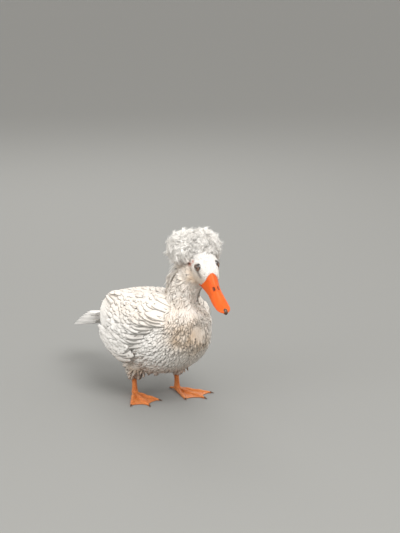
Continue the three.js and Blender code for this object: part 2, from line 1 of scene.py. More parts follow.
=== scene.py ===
"""A white crested duck standing still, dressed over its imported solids. Lengths in the duck's own
measure are in millimetres, and become metres in the frame as each mesh is made."""
from math import cos, pi, radians, sin

import bpy
import numpy as np
from mathutils import Matrix, Vector


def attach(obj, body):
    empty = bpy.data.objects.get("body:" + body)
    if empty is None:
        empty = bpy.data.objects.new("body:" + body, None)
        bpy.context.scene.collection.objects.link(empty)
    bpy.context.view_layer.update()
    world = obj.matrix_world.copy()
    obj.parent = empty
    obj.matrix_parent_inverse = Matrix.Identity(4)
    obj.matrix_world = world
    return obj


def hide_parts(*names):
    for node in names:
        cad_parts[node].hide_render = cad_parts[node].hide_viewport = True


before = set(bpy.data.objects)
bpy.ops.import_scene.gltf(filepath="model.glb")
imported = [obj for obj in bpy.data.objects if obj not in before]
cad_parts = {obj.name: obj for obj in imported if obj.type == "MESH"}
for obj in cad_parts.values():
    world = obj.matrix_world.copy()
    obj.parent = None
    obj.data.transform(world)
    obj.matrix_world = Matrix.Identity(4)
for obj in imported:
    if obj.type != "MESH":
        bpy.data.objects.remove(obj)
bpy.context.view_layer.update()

# Ground, light and camera. The duck stands on a plain pale floor under a big soft lamp, with a weaker
# one on its other side. The camera looks a little down at its right side and front, from far away.
floor_mesh = bpy.data.meshes.new("floor")
floor_mesh.from_pydata([(-40, -40, 0), (40, -40, 0), (40, 40, 0), (-40, 40, 0)], [], [(0, 1, 2, 3)])
floor = bpy.data.objects.new("floor", floor_mesh)
bpy.context.scene.collection.objects.link(floor)
floor_paint = bpy.data.materials.new("floor_paint")
floor_paint.use_nodes = True
floor_paint.node_tree.nodes["Principled BSDF"].inputs["Base Color"].default_value = (0.22, 0.22, 0.21, 1)
floor_paint.node_tree.nodes["Principled BSDF"].inputs["Roughness"].default_value = 0.9
floor_mesh.materials.append(floor_paint)

world = bpy.data.worlds.new("studio")
world.use_nodes = True
world.node_tree.nodes["Background"].inputs["Color"].default_value = (1.0, 0.98, 0.95, 1)
world.node_tree.nodes["Background"].inputs["Strength"].default_value = 1.05
bpy.context.scene.world = world
bpy.context.scene.view_settings.view_transform = "Standard"

look_at = Vector((0.1217, 0.0099, 0.2411))  # the middle of the picture, near the duck's eye
camera_azimuth, camera_height = radians(55), radians(14)


def aim(thing, place, target):
    """Turns a lamp or camera at a place so that it looks along the line to its target."""
    thing.location = place
    thing.rotation_euler = (Vector(target) - Vector(place)).to_track_quat("-Z", "Y").to_euler()


for lamp_name, place, size, power in (
    ("lamp_main", (1.8, -0.2, 2.3), 1.4, 60),
    ("lamp_side", (0.2, -2.4, 1.2), 1.6, 20),
    ("lamp_back", (-1.8, 0.9, 1.6), 1.2, 18),
):
    lamp = bpy.data.lights.new(lamp_name, "AREA")
    lamp.size = size
    lamp.energy = power
    lamp_object = bpy.data.objects.new(lamp_name, lamp)
    bpy.context.scene.collection.objects.link(lamp_object)
    aim(lamp_object, place, (0.0, 0.0, 0.15))

camera = bpy.data.cameras.new("camera")
camera.lens = 109.8
camera.clip_end = 200
camera_object = bpy.data.objects.new("camera", camera)
bpy.context.scene.collection.objects.link(camera_object)
camera_line = Vector((
    sin(camera_azimuth) * cos(camera_height),
    -cos(camera_azimuth) * cos(camera_height),
    sin(camera_height),
))
aim(camera_object, look_at + 2.6 * camera_line, look_at)
bpy.context.scene.camera = camera_object

# Skin. One closed skin runs over the head, neck, body and thighs of the bird, under the feathers.
# It is thin pink skin on flesh, and the coat of feathers is rooted in it.
duck_origin = np.array([-12.91, 0.0, 0.0])  # the frame's origin in the duck's own measure
coat_depth = {"torso": 3.6, "neck": 3.2, "head": 1.6, "thigh": 3.0}


def in_frame(points):
    """The duck's own millimetres to metres in the frame: less the origin, over a thousand."""
    return (np.asarray(points, float) - duck_origin) / 1000


def unit(vectors):
    """Each vector over its own length."""
    return vectors / np.maximum(np.linalg.norm(vectors, axis=-1, keepdims=True), 1e-9)


def turned(matrix, points):
    """Points through a 4 by 4 matrix, as whole arrays."""
    m = np.array(matrix)
    return np.asarray(points, float) @ m[:3, :3].T + m[:3, 3]


def mesh_from(name, points, triangles):
    """A mesh object of points in metres and rows of three corner numbers."""
    mesh = bpy.data.meshes.new(name)
    mesh.vertices.add(len(points))
    mesh.vertices.foreach_set("co", np.ascontiguousarray(points, np.float32).ravel())
    mesh.loops.add(3 * len(triangles))
    mesh.loops.foreach_set("vertex_index", np.ascontiguousarray(triangles, np.int32).ravel())
    mesh.polygons.add(len(triangles))
    mesh.polygons.foreach_set("loop_start", 3 * np.arange(len(triangles), dtype=np.int32))
    mesh.update(calc_edges=True)
    mesh.validate()
    mesh.shade_smooth()
    piece = bpy.data.objects.new(name, mesh)
    bpy.context.scene.collection.objects.link(piece)
    return piece


def closed_grid(points):
    """Triangles of a tube whose rings are the rows of points (ring, around), closed by a fan at each
    end round the middle of that ring. Gives the flat list of points and the triangles."""
    rings, around = points.shape[:2]
    i, k = np.meshgrid(np.arange(rings - 1), np.arange(around), indexing="ij")
    a, b = i * around + k, i * around + (k + 1) % around
    c, d = a + around, b + around
    walls = np.concatenate([np.stack([a, b, c], -1).reshape(-1, 3), np.stack([b, d, c], -1).reshape(-1, 3)])
    edge = np.arange(around)
    after = (edge + 1) % around
    first, last = rings * around, rings * around + 1
    start = np.stack([after, edge, np.full(around, first)], -1)
    top = (rings - 1) * around
    end = np.stack([top + edge, top + after, np.full(around, last)], -1)
    flat = np.concatenate([points.reshape(-1, 3), [points[0].mean(0), points[-1].mean(0)]])
    return flat, np.concatenate([walls, start, end])


def facing_out(points, triangles):
    """The triangles with their corners in the order that makes the closed volume positive."""
    a, b, c = (points[triangles[:, n]] for n in range(3))
    volume = np.einsum("ij,ij->i", a, np.cross(b, c)).sum()
    return triangles if volume > 0 else triangles[:, ::-1]


body_matrix = Matrix.Translation((0, 0, 113)) @ Matrix.Rotation(radians(-9), 4, "Y")
torso_front, torso_rear, torso_width, torso_back, torso_belly = 120, 134, 68, 60, 73


def rounded(value, power):
    """A signed power: the sign of a value times its size to a power, for superellipse sections."""
    return np.sign(value) * np.abs(value) ** power


def fullness(s):
    """How full the body is at s along it: 1 in the middle, falling to 0 at both ends."""
    front = np.maximum(1 - (np.clip(s, 0, torso_front) / torso_front) ** 2.5, 0) ** 0.5
    rear = np.maximum(1 - (np.clip(-s, 0, torso_rear) / torso_rear) ** 2, 0) ** 0.5
    return np.where(s > 0, front, rear)


def middle_line(s):
    """The height of the body's middle line: it rises towards both ends, as the square of s."""
    return np.where(s > 0, 13 * (s / torso_front) ** 2, 26 * (np.maximum(s, -torso_rear) / torso_rear) ** 2)


def torso_point(s, angle, lift=0.0, carrier=False):
    """A point on the body: a superellipse of power 2.2 round a middle line that rises at both ends,
    lifted off the surface. With carrier the surface runs on past the rump as a slim wedge."""
    full = fullness(s)
    least_width, least_height = (17, 11) if carrier else (0, 0)
    width = np.maximum(torso_width * full, least_width)
    high = np.where(np.sin(angle) > 0, torso_back, torso_belly) * full
    high = np.maximum(high, least_height)
    y = width * rounded(np.cos(angle), 2 / 2.2)
    h = high * rounded(np.sin(angle), 2 / 2.2)
    grown = 1 + lift / np.maximum(np.hypot(y, h), 1)
    return turned(body_matrix, np.stack(np.broadcast_arrays(s, y * grown, middle_line(s) + h * grown), -1))


neck_points = np.array([(56, 0, 112), (71, 0, 146), (69, 0, 173), (77, 2, 200), (92, 8, 225), (103, 12, 240)], float)
neck_radii = np.array([47, 37, 29, 25.5, 24.5, 15.0])


def neck_line(share):
    """A smooth curve through the neck's stations: each piece a cubic with Catmull-Rom tangents."""
    place = np.clip(share, 0, 1) * (len(neck_points) - 1)
    i = np.minimum(place.astype(int), len(neck_points) - 2)
    t = (place - i)[..., None]
    padded_line = np.concatenate([[2 * neck_points[0] - neck_points[1]], neck_points, [2 * neck_points[-1] - neck_points[-2]]])
    p0, p1, p2, p3 = (padded_line[i + n] for n in range(4))
    return 0.5 * (2 * p1 + (p2 - p0) * t + (2 * p0 - 5 * p1 + 4 * p2 - p3) * t**2 + (3 * p1 - p0 - 3 * p2 + p3) * t**3)


def neck_radius(share):
    """The neck's radius at a share of its length, eased between its stations."""
    place = np.clip(share, 0, 1) * (len(neck_radii) - 1)
    i = np.minimum(place.astype(int), len(neck_radii) - 2)
    t = place - i
    t = t * t * (3 - 2 * t)
    return neck_radii[i] * (1 - t) + neck_radii[i + 1] * t


head_matrix = (
    Matrix.Translation((114, 16, 238))
    @ Matrix.Rotation(radians(-13), 4, "Z")
    @ Matrix.Rotation(radians(23), 4, "Y")
    @ Matrix.Rotation(radians(7), 4, "X")
)
head_inverse = head_matrix.inverted()


def head_point(x, angle, sunk):
    """A point on the head: superellipse sections that narrow to the blunt face behind the bill."""
    back = np.maximum(1 - (np.clip(-x, 0, 37) / 37) ** 2.3, 0) ** 0.5
    fall = (np.clip(x, 0, 30) / 30) ** 1.5
    width = np.where(x < 0, 23 * back, 23 + (12 - 23) * fall) - sunk
    high = np.where(x < 0, 26 * back, 26 + (12.5 - 26) * fall) - sunk
    low = np.where(x < 0, 27 * back, 27 + (21.5 - 27) * fall) - sunk
    y = np.maximum(width, 0.5) * rounded(np.cos(angle), 2 / 2.25)
    z = np.where(np.sin(angle) > 0, np.maximum(high, 0.5), np.maximum(low, 0.5)) * rounded(np.sin(angle), 2 / 2.25)
    return turned(head_matrix, np.stack(np.broadcast_arrays(x, y, z), -1))


leg_x, leg_y, stride = -2, 36, {1: 12, -1: -8}
turn = np.linspace(0, 2 * pi, 64, endpoint=False)
flesh = []
depth = coat_depth["torso"]
along = np.linspace(0.02, 0.98, 72)[:, None]
s = -torso_rear + depth + (torso_rear + torso_front - 2 * depth) * (1 - np.cos(pi * along)) / 2
flesh.append(torso_point(s, turn[None], -depth * (0.3 + 0.7 * fullness(s))))
share = np.linspace(0, 1, 60)
middle = neck_line(share)
tangent = unit(np.gradient(middle, axis=0))
forward = unit(np.stack([tangent[:, 2], np.zeros(60), -tangent[:, 0]], -1))
left = np.cross(tangent, forward)
radius = (neck_radius(share) - coat_depth["neck"])[:, None, None]
flesh.append(
    middle[:, None]
    + forward[:, None] * radius * 1.04 * np.cos(turn)[None, :, None]
    + left[:, None] * radius * 0.97 * np.sin(turn)[None, :, None]
)
x = -37 + coat_depth["head"] + 65.4 * (1 - np.cos(pi * 0.52 * np.linspace(0.03, 1, 48))) / (1 - cos(pi * 0.52))
flesh.append(head_point(x[:, None], turn[None], coat_depth["head"]))
for side in (1, -1):
    t = np.linspace(0.02, 1, 24)[:, None]
    foot_x, foot_y = leg_x + stride[side], side * leg_y
    radius = 8.5 + 15.5 * t**0.8 - coat_depth["thigh"] * np.minimum(1, 0.4 + t)
    flesh.append(np.stack([
        foot_x - 8 + 12 * t + 1.1 * radius * np.cos(turn),
        foot_y - side * 3 * t + 0.85 * radius * np.sin(turn),
        34 + 28 * t + 0 * turn,
    ], -1))
parts, faces, count = [], [], 0
for grid in flesh:
    points, triangles = closed_grid(grid)
    faces.append(facing_out(points, triangles) + count)
    parts.append(points)
    count += len(points)
skin = mesh_from("skin", in_frame(np.concatenate(parts)), np.concatenate(faces))
remesh = skin.modifiers.new("one_skin", "REMESH")
remesh.mode = "VOXEL"
remesh.voxel_size = 0.0022
ease = skin.modifiers.new("ease", "SMOOTH")
ease.factor = 0.5
ease.iterations = 12
bpy.context.view_layer.objects.active = skin
skin.select_set(True)
for modifier in ("one_skin", "ease"):
    bpy.ops.object.modifier_apply(modifier=modifier)
bpy.ops.object.mode_set(mode="EDIT")
bpy.ops.mesh.select_all(action="SELECT")
bpy.ops.mesh.quads_convert_to_tris()
bpy.ops.uv.smart_project(angle_limit=radians(66), island_margin=0.004)
bpy.ops.object.mode_set(mode="OBJECT")
skin.select_set(False)
skin.data.uv_layers[0].name = "OFBake"
skin.data.shade_smooth()


def smooth_step(value, low, high):
    """0 below low, 1 above high, and an S-shaped cubic between them."""
    t = np.clip((value - low) / (high - low), 0, 1)
    return t * t * (3 - 2 * t)


def near(points, a, b, radius):
    """1 on the line from a to b, falling as a bell curve with the distance from it over the radius."""
    a, b = np.asarray(a, float), np.asarray(b, float)
    t = np.clip((points - a) @ (b - a) / max((b - a) @ (b - a), 1e-9), 0, 1)
    gap = np.linalg.norm(points - (a + t[..., None] * (b - a)), axis=-1)
    return np.exp(-((gap / radius) ** 2))


def markings(points):
    """Four shares for the coat and skin alike: cream stain, mud, dark line and bare red skin. Cream
    lies on the cheeks and the neck, deepest at the neck's foot. Mud lies low on the breast and belly.
    The dark line runs from each eye to the bill, and a little red skin shows under the crest."""
    head = turned(head_inverse, points)
    z = points[..., 2]
    on_neck = smooth_step(z, 125, 160) * (1 - smooth_step(z, 215, 235))
    on_head = smooth_step(z, 205, 225)
    cheek = sum(near(head, (-26, y, -10), (14, y * 0.8, -11), 16) for y in (-22, 22))
    foot = near(points, (112, -28, 128), (108, 4, 112), 26)
    cream = 0.36 * on_neck + 0.9 * cheek * on_head + 0.7 * foot
    cream += 0.2 * smooth_step(points[..., 0], 60, 110) * (1 - smooth_step(z, 120, 160))
    mud = (1 - smooth_step(z, 44, 92)) * 0.85 + 0.4 * foot
    dark = 0.7 * sum(near(head, (11, y, 10), (21, 0.87 * y, 2), 3.0) for y in (-18.5, 18.5))
    dark += 0.9 * sum(near(head, (9, y, 12.5), (9, y, 12.5), 4.6) for y in (-19, 19))
    red = near(head, (-7, -21, 7.5), (-16, -22, 3.5), 2.6) + near(head, (-5, -20, 15), (-6, -20, 15), 2.2)
    return np.clip(np.stack([cream, mud, dark, red], -1), 0, 1)


def mark(piece, points):
    """Stores the markings at the points, one for each vertex, as the attribute named marks."""
    layer = piece.data.attributes.new("marks", "FLOAT_COLOR", "POINT")
    layer.data.foreach_set("color", np.ascontiguousarray(markings(points), np.float32).ravel())


def vertices_of(piece):
    """A mesh's vertices as an array, in the duck's own millimetres."""
    flat = np.zeros(3 * len(piece.data.vertices), np.float32)
    piece.data.vertices.foreach_get("co", flat)
    return flat.reshape(-1, 3).astype(float) * 1000 + duck_origin


class Paint:
    """A material in the making: adds nodes and joins them, with short calls."""

    def __init__(self, name, **sockets):
        self.material = bpy.data.materials.new(name)
        self.material.use_nodes = True
        self.tree = self.material.node_tree
        self.shader = self.tree.nodes["Principled BSDF"]
        for socket, value in sockets.items():
            self.shader.inputs[socket.replace("_", " ")].default_value = value

    def add(self, kind, settings=None, **inputs):
        """A node of a kind, with its settings, and with inputs given as numbers or other sockets."""
        node = self.tree.nodes.new(kind)
        for key, value in (settings or {}).items():
            setattr(node, key, value)
        for key, value in inputs.items():
            socket = node.inputs[int(key[1:])] if key[0] == "i" and key[1:].isdigit() else node.inputs[key]
            if isinstance(value, bpy.types.NodeSocket):
                self.tree.links.new(value, socket)
            else:
                socket.default_value = value
        return node

    def noise(self, scale, detail=3.0, where="Object"):
        """Cloudy noise over the object, about 1 over scale metres across."""
        place = self.add("ShaderNodeTexCoord").outputs[where]
        return self.add("ShaderNodeTexNoise", Vector=place, Scale=scale, Detail=detail).outputs["Fac"]

    def math(self, operation, a, b=0.0, clamp=False):
        return self.add("ShaderNodeMath", {"operation": operation, "use_clamp": clamp}, i0=a, i1=b).outputs[0]

    def mix(self, share, a, b, blend="MIX"):
        """The colour a turned towards b by a share."""
        node = self.add("ShaderNodeMix", {"data_type": "RGBA", "blend_type": blend}, i0=share, i6=a, i7=b)
        return node.outputs[2]

    def ramp(self, value, low, high):
        """0 where the value is below low, 1 above high."""
        return self.add("ShaderNodeMapRange", Value=value, i1=low, i2=high).outputs[0]

    def bump(self, height, strength, distance):
        node = self.add("ShaderNodeBump", Height=height, Strength=strength, Distance=distance)
        self.tree.links.new(node.outputs[0], self.shader.inputs["Normal"])

    def colour(self, socket):
        self.tree.links.new(socket, self.shader.inputs["Base Color"])


def stained(paint, white, cream, mud, dark, red):
    """The shared colours of coat and skin: white turned to each stain by the markings and by noise,
    with small specks of dirt where the cream is deep."""
    marks = paint.add("ShaderNodeAttribute", {"attribute_name": "marks"})
    shares = paint.add("ShaderNodeSeparateColor", Color=marks.outputs["Color"]).outputs
    cloud = paint.ramp(paint.noise(55, 5), 0.32, 0.68)
    fine = paint.ramp(paint.noise(240, 3), 0.3, 0.7)
    patch = paint.math("MULTIPLY_ADD", cloud, 0.6)
    patch.node.inputs[2].default_value = 0.5
    colour = paint.mix(paint.math("MULTIPLY", shares[0], patch, True), white, cream)
    colour = paint.mix(paint.math("MULTIPLY", shares[1], patch, True), colour, mud)
    colour = paint.mix(paint.math("MULTIPLY", fine, 0.1), colour, cream)
    place = paint.add("ShaderNodeTexCoord").outputs["Object"]
    cells = paint.add("ShaderNodeTexVoronoi", Vector=place, Scale=130.0).outputs["Distance"]
    speck = paint.math("MULTIPLY", paint.ramp(cells, 0.24, 0.16), paint.ramp(shares[0], 0.12, 0.3))
    speck = paint.math("MULTIPLY", speck, paint.ramp(paint.noise(30, 2), 0.46, 0.54))
    colour = paint.mix(paint.math("MULTIPLY", speck, 0.8), colour, dark)
    colour = paint.mix(shares[2], colour, dark)
    return paint.mix(marks.outputs["Alpha"], colour, red)


feather_white = (0.94, 0.92, 0.885, 1)
feather_cream = (0.64, 0.47, 0.31, 1)
feather_mud = (0.36, 0.25, 0.155, 1)
feather_dark = (0.055, 0.032, 0.02, 1)
bare_red = (0.62, 0.13, 0.045, 1)
skin_paint = Paint("skin_finish", Roughness=0.8)
skin_paint.colour(stained(skin_paint, (0.70, 0.60, 0.52, 1), (0.40, 0.28, 0.19, 1), feather_mud, feather_dark, bare_red))
skin_paint.bump(skin_paint.noise(900, 4), 0.4, 0.0006)
skin.data.materials.append(skin_paint.material)
mark(skin, vertices_of(skin))
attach(skin, "root")
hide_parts("torso", "neck", "head", "thigh_left", "thigh_right")

# Body coat. Contour feathers cover the breast, back, flanks and belly like tiles: short, broad and
# rounded, each rooted in the skin and lying back over the next, white with stains below.
skin_points = vertices_of(skin)
skin_triangles = np.zeros(3 * len(skin.data.polygons), np.int32)
skin.data.loops.foreach_get("vertex_index", skin_triangles)
skin_triangles = skin_triangles.reshape(-1, 3)
skin_uv = np.zeros(2 * len(skin.data.loops), np.float32)
skin.data.uv_layers["OFBake"].data.foreach_get("uv", skin_uv)
skin_uv = skin_uv.reshape(-1, 3, 2)
skin_normals = np.zeros(3 * len(skin.data.vertices), np.float32)
skin.data.vertices.foreach_get("normal", skin_normals)
skin_normals = skin_normals.reshape(-1, 3).astype(float)
patch_size = 0.003  # of a feather's own patch in the bake map


def roots_on_skin(spacing, keep, seed):
    """Places for feathers: random points over the skin, of which each cube of the given side keeps
    the one nearest its middle. keep is a test on points. Gives points, normals and bake places."""
    draw = np.random.default_rng(seed)
    corners = skin_points[skin_triangles]
    wanted = keep(corners.mean(1))
    chosen, uv, ends = corners[wanted], skin_uv[wanted], skin_triangles[wanted]
    area = np.linalg.norm(np.cross(chosen[:, 1] - chosen[:, 0], chosen[:, 2] - chosen[:, 0]), axis=1) / 2
    number = int(7 * area.sum() / spacing**2)
    face = draw.choice(len(chosen), number, p=area / area.sum())
    weight = draw.dirichlet((1, 1, 1), number)
    point = np.einsum("ij,ijk->ik", weight, chosen[face])
    normal = unit(np.einsum("ij,ijk->ik", weight, skin_normals[ends[face]]))
    place = np.einsum("ij,ijk->ik", weight, uv[face])
    cell = np.floor(point / spacing).astype(np.int64)
    order = np.argsort(np.linalg.norm(point / spacing - cell - 0.5, axis=1))
    key = (cell @ np.array([1, 4096, 4096**2]))[order]
    first = order[np.unique(key, return_index=True)[1]]
    return point[first], normal[first], place[first]


def lie_of_coat(points, normals):
    """The way that feathers point, flat on the skin: down the breast and back along the body, down the
    neck, back from the bill on the head, each eased into the next by height and distance."""
    head = turned(head_inverse, points)
    axes = np.array(head_matrix)[:3, :3]
    front = smooth_step(points[:, 0], 50, 115)[:, None]
    on_body = np.array([-1.0, 0, -0.38]) * (1 - front) + np.array([-0.3, 0, -1.0]) * front
    on_neck = np.array([-0.12, 0, -1.0])
    on_head = axes @ np.array([-1.0, 0, -0.3])
    up_neck = smooth_step(points[:, 2], 138, 172)[:, None]
    up_head = (smooth_step(head[:, 0], -34, -8) * smooth_step(points[:, 2], 205, 232))[:, None]
    way = on_body * (1 - up_neck) + on_neck * up_neck
    way = way * (1 - up_head) + on_head * up_head
    low = (1 - smooth_step(points[:, 2], 44, 60))[:, None]
    way = way * (1 - low) + np.array([-0.25, 0, -1.0]) * low
    return unit(way - normals * np.sum(way * normals, -1, keepdims=True))


def bent_shafts(root, ahead, up, length, rise, bend, curl, stations):
    """The shafts of free feathers: each leaves its root ahead, raised by an angle, turns down by the
    bend over its length, and drifts sideways by the curl times the share squared. Gives the points
    and the outward faces at each station, as (feather, station, 3)."""
    t = np.linspace(0, 1, stations)
    angle = rise[:, None] - bend[:, None] * t
    step = length[:, None] / (stations - 1)
    reach = np.concatenate([np.zeros((len(root), 1)), np.cumsum(step * np.cos((angle[:, 1:] + angle[:, :-1]) / 2), 1)], 1)
    climb = np.concatenate([np.zeros((len(root), 1)), np.cumsum(step * np.sin((angle[:, 1:] + angle[:, :-1]) / 2), 1)], 1)
    side = np.cross(up, ahead)
    path = root[:, None] + ahead[:, None] * reach[..., None] + up[:, None] * climb[..., None]
    path = path + side[:, None] * (curl[:, None] * t**2)[..., None]
    face = up[:, None] * np.cos(angle)[..., None] - ahead[:, None] * np.sin(angle)[..., None]
    return path, face


def feather_mesh(name, path, face, half, thick, section, places, camber=0.12, marks_at=None):
    """Joined feathers, each a closed strip along its shaft. At each station a ring of points lies
    across it: the section gives each as a share of the half width and of the thickness, and the
    edges droop by the camber. The map UVMap runs across and along each feather, and OFBake gives it
    a small patch at its root's place on the skin."""
    feathers, stations = path.shape[:2]
    ahead = unit(np.gradient(path, axis=1))
    side = unit(np.cross(face, ahead))
    lift = np.cross(ahead, side)
    across, rise = np.asarray(section, float).T
    out = half[..., None] * across
    high = thick[..., None] * rise - camber * half[..., None] * across**2
    points = path[:, :, None] + side[:, :, None] * out[..., None] + lift[:, :, None] * high[..., None]
    ring = len(across)
    i, k = np.meshgrid(np.arange(stations - 1), np.arange(ring), indexing="ij")
    a, b = i * ring + k, i * ring + (k + 1) % ring
    walls = np.concatenate([np.stack([a, b, b + ring], -1).reshape(-1, 3), np.stack([a, b + ring, a + ring], -1).reshape(-1, 3)])
    fan = np.stack([np.zeros(ring - 2, int), np.arange(2, ring), np.arange(1, ring - 1)], -1)
    one = np.concatenate([walls, fan, fan[:, ::-1] + (stations - 1) * ring])
    triangles = (one[None] + (np.arange(feathers) * stations * ring)[:, None, None]).reshape(-1, 3)
    corners = points[0].reshape(-1, 3)[one]
    if np.einsum("ij,ij->i", corners[:, 0] - corners[0, 0], np.cross(corners[:, 1] - corners[0, 0], corners[:, 2] - corners[0, 0])).sum() < 0:
        triangles = triangles[:, ::-1]
    flat = points.reshape(-1, 3)
    piece = mesh_from(name, in_frame(flat), triangles)
    own = np.stack(np.broadcast_arrays((across + 1) / 2, np.linspace(0, 1, stations)[:, None]), -1)
    own = np.broadcast_to(own, (feathers, stations, ring, 2))
    bake = places[:, None, None] + patch_size * (own - 0.5)
    corner = np.zeros(3 * len(piece.data.polygons), np.int32)
    piece.data.loops.foreach_get("vertex_index", corner)
    for label, values in (("UVMap", own), ("OFBake", bake)):
        layer = piece.data.uv_layers.new(name=label)
        layer.data.foreach_set("uv", np.ascontiguousarray(values.reshape(-1, 2)[corner], np.float32).ravel())
    tone = np.random.default_rng(feathers).random((feathers, 1, 1))
    layer = piece.data.attributes.new("tone", "FLOAT", "POINT")
    layer.data.foreach_set("value", np.broadcast_to(tone, (feathers, stations, ring)).astype(np.float32).ravel())
    if marks_at is None:
        marks_at = np.broadcast_to(path[:, :, None], points.shape).reshape(-1, 3)
    mark(piece, marks_at)
    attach(piece, "root")
    return piece


def plumage(name, white=feather_white, barbs=34.0, depth=0.5, roughness=0.85, root_shade=0.06):
    """Feather finish: the stained white, with painted shade deepening towards each root, slanting barbs
    along both vanes, a raised shaft in the bump and a slight difference of tone from feather to feather."""
    paint = Paint(name, Roughness=roughness, Sheen_Weight=0.2, Sheen_Roughness=0.6, Specular_IOR_Level=0.2)
    colour = stained(paint, white, feather_cream, feather_mud, feather_dark, bare_red)
    tone = paint.add("ShaderNodeAttribute", {"attribute_name": "tone"}).outputs["Fac"]
    uv = paint.add("ShaderNodeUVMap", {"uv_map": "UVMap"}).outputs[0]
    split = paint.add("ShaderNodeSeparateXYZ", Vector=uv).outputs
    off_shaft = paint.math("ABSOLUTE", paint.math("SUBTRACT", split[0], 0.5))
    slant = paint.math("SUBTRACT", split[1], paint.math("MULTIPLY", off_shaft, 0.5))
    barb = paint.math("SINE", paint.math("MULTIPLY", slant, barbs * 2 * pi))
    barb = paint.math("MULTIPLY", paint.math("ADD", barb, 1.0), 0.5)
    # Painted shade: the colour darkens towards each feather's root by root_shade, as if shaded by the feathers lying
    # over it.
    root = paint.ramp(split[1], 0.55, 0.05)
    painted_root_shade_and_tone = paint.math("MULTIPLY", root, root_shade)
    painted_root_shade_and_tone = paint.math("ADD", painted_root_shade_and_tone, paint.math("MULTIPLY", paint.math("SUBTRACT", tone, 0.35), 0.10))
    painted_root_shade_and_tone = paint.math("ADD", painted_root_shade_and_tone, paint.math("MULTIPLY", barb, 0.03), True)
    # The dim brown is the colour of the painted root shade, together with the random tone and the barbs.
    paint.colour(paint.mix(painted_root_shade_and_tone, colour, (0.56, 0.47, 0.37, 1)))
    shaft = paint.ramp(off_shaft, 0.06, 0.0)
    paint.bump(paint.math("ADD", barb, paint.math("MULTIPLY", shaft, 1.5)), depth, 0.0005)
    return paint.material


small_section = ((-1, 0), (0, 1), (1, 0))
broad_section = ((-1, 0), (-0.5, 0.6), (0, 1), (0.5, 0.6), (1, 0))
body_outline = np.array([0.35, 0.85, 1.0, 0.88, 0.3])
broad_outline = np.array([0.4, 0.8, 0.97, 1.0, 0.92, 0.68, 0.2])


def on_torso(points):
    """True where the skin belongs to the body: below the neck, and not where a folded wing lies."""
    own = turned(body_matrix.inverted(), points)
    full = np.maximum(fullness(own[:, 0]), 0.02)
    above = own[:, 2] - middle_line(own[:, 0])
    angle = np.arctan2(above / np.where(above > 0, torso_back, torso_belly), np.abs(own[:, 1]) / torso_width)
    t = np.clip((86 - own[:, 0]) / 220, 0, 1)
    low = np.radians(26 - 42 * np.minimum(t / 0.34, 1) + 46 * np.clip((t - 0.34) / 0.66, 0, 1) ** 1.7)
    covered = (own[:, 0] < 62) & (angle < radians(72)) & (angle > low + radians(12))
    return (points[:, 2] < 168) & (points[:, 2] > 50) & ~covered & (full > 0)


for half_name, way, seed in (("front", 1, 3), ("rear", -1, 4)):
    root, normal, place = roots_on_skin(
        3.85, lambda points: on_torso(points) & (way * turned(body_matrix.inverted(), points)[:, 0] >= 0), seed
    )
    draw = np.random.default_rng(31 + seed)
    feathers = len(root)
    ahead = unit(lie_of_coat(root, normal) + 0.075 * draw.normal(size=root.shape))
    ahead = unit(ahead - normal * np.sum(ahead * normal, -1, keepdims=True))
    small = 1 - 0.3 * smooth_step(turned(body_matrix.inverted(), root)[:, 0], 20, 95)
    length = 24 * (0.85 + 0.3 * draw.random(feathers)) * small * (1 - 0.3 * smooth_step(root[:, 2], 130, 165))
    rise = (radians(9) + 0.02 * draw.random(feathers)) * (1 - 0.45 * smooth_step(root[:, 2], 108, 140))
    bend = radians(11) + 0.04 * draw.random(feathers)
    path, face = bent_shafts(root, ahead, normal, length, rise, bend, 1.2 * draw.normal(size=feathers), 7)
    half = 5.6 * (small * (0.9 + 0.2 * draw.random(feathers)))[:, None] * broad_outline
    half = half * (1 + 0.05 * draw.normal(size=half.shape))
    body_coat = feather_mesh(
        f"coat_body_{half_name}", path, face, half, np.full_like(half, 0.22), small_section, place, camber=0.07
    )
    body_coat.data.materials.append(plumage(f"body_feathers_{half_name}", barbs=40.0, depth=0.35))

# Neck coat. The neck's feathers are narrower and curly, and stand in loose furrows that run down it.
# They are stained cream, with specks of dirt.


def on_neck(points):
    """True on the neck: above the body and below and behind the head."""
    head = turned(head_inverse, points)
    face = (head[:, 0] > 3) & (points[:, 2] > 208)
    return (points[:, 2] > 150) & ((points[:, 2] < 226) | (head[:, 0] < -10)) & (head[:, 2] < 6) & ~face


for side_name, way, seed in (("left", 1, 5), ("right", -1, 6)):
    root, normal, place = roots_on_skin(
        2.1, lambda points: on_neck(points) & (way * (points[:, 1] - 0.12 * (points[:, 2] - 140)) >= 0), seed
    )
    draw = np.random.default_rng(46 + seed)
    feathers = len(root)
    furrow = np.sin(8 * np.arctan2(root[:, 1] - 2, root[:, 0] - 76) + 0.12 * root[:, 2])
    ahead = lie_of_coat(root, normal) + 0.22 * draw.normal(size=root.shape)
    ahead = unit(ahead + 0.45 * np.cross(normal, (0, 0, 1)) * furrow[:, None])
    ahead = unit(ahead - normal * np.sum(ahead * normal, -1, keepdims=True))
    length = 11 * (0.75 + 0.5 * draw.random(feathers))
    rise = radians(20) + radians(12) * furrow + 0.18 * draw.random(feathers)
    bend = radians(46) + 0.6 * draw.random(feathers)
    path, face = bent_shafts(root, ahead, normal, length, rise, bend, 2.4 * draw.normal(size=feathers), 7)
    half = 1.75 * (0.7 + 0.6 * draw.random(feathers))[:, None] * broad_outline
    neck_coat = feather_mesh(
        f"coat_neck_{side_name}", path, face, half, np.full_like(half, 0.2), small_section, place, camber=0.2
    )
    neck_coat.data.materials.append(plumage(f"neck_feathers_{side_name}", depth=0.4))

# Head coat. Very short, dense feathers lie back from the bill over the face, cheeks and crown, up to
# the lids and the edge of the bill.


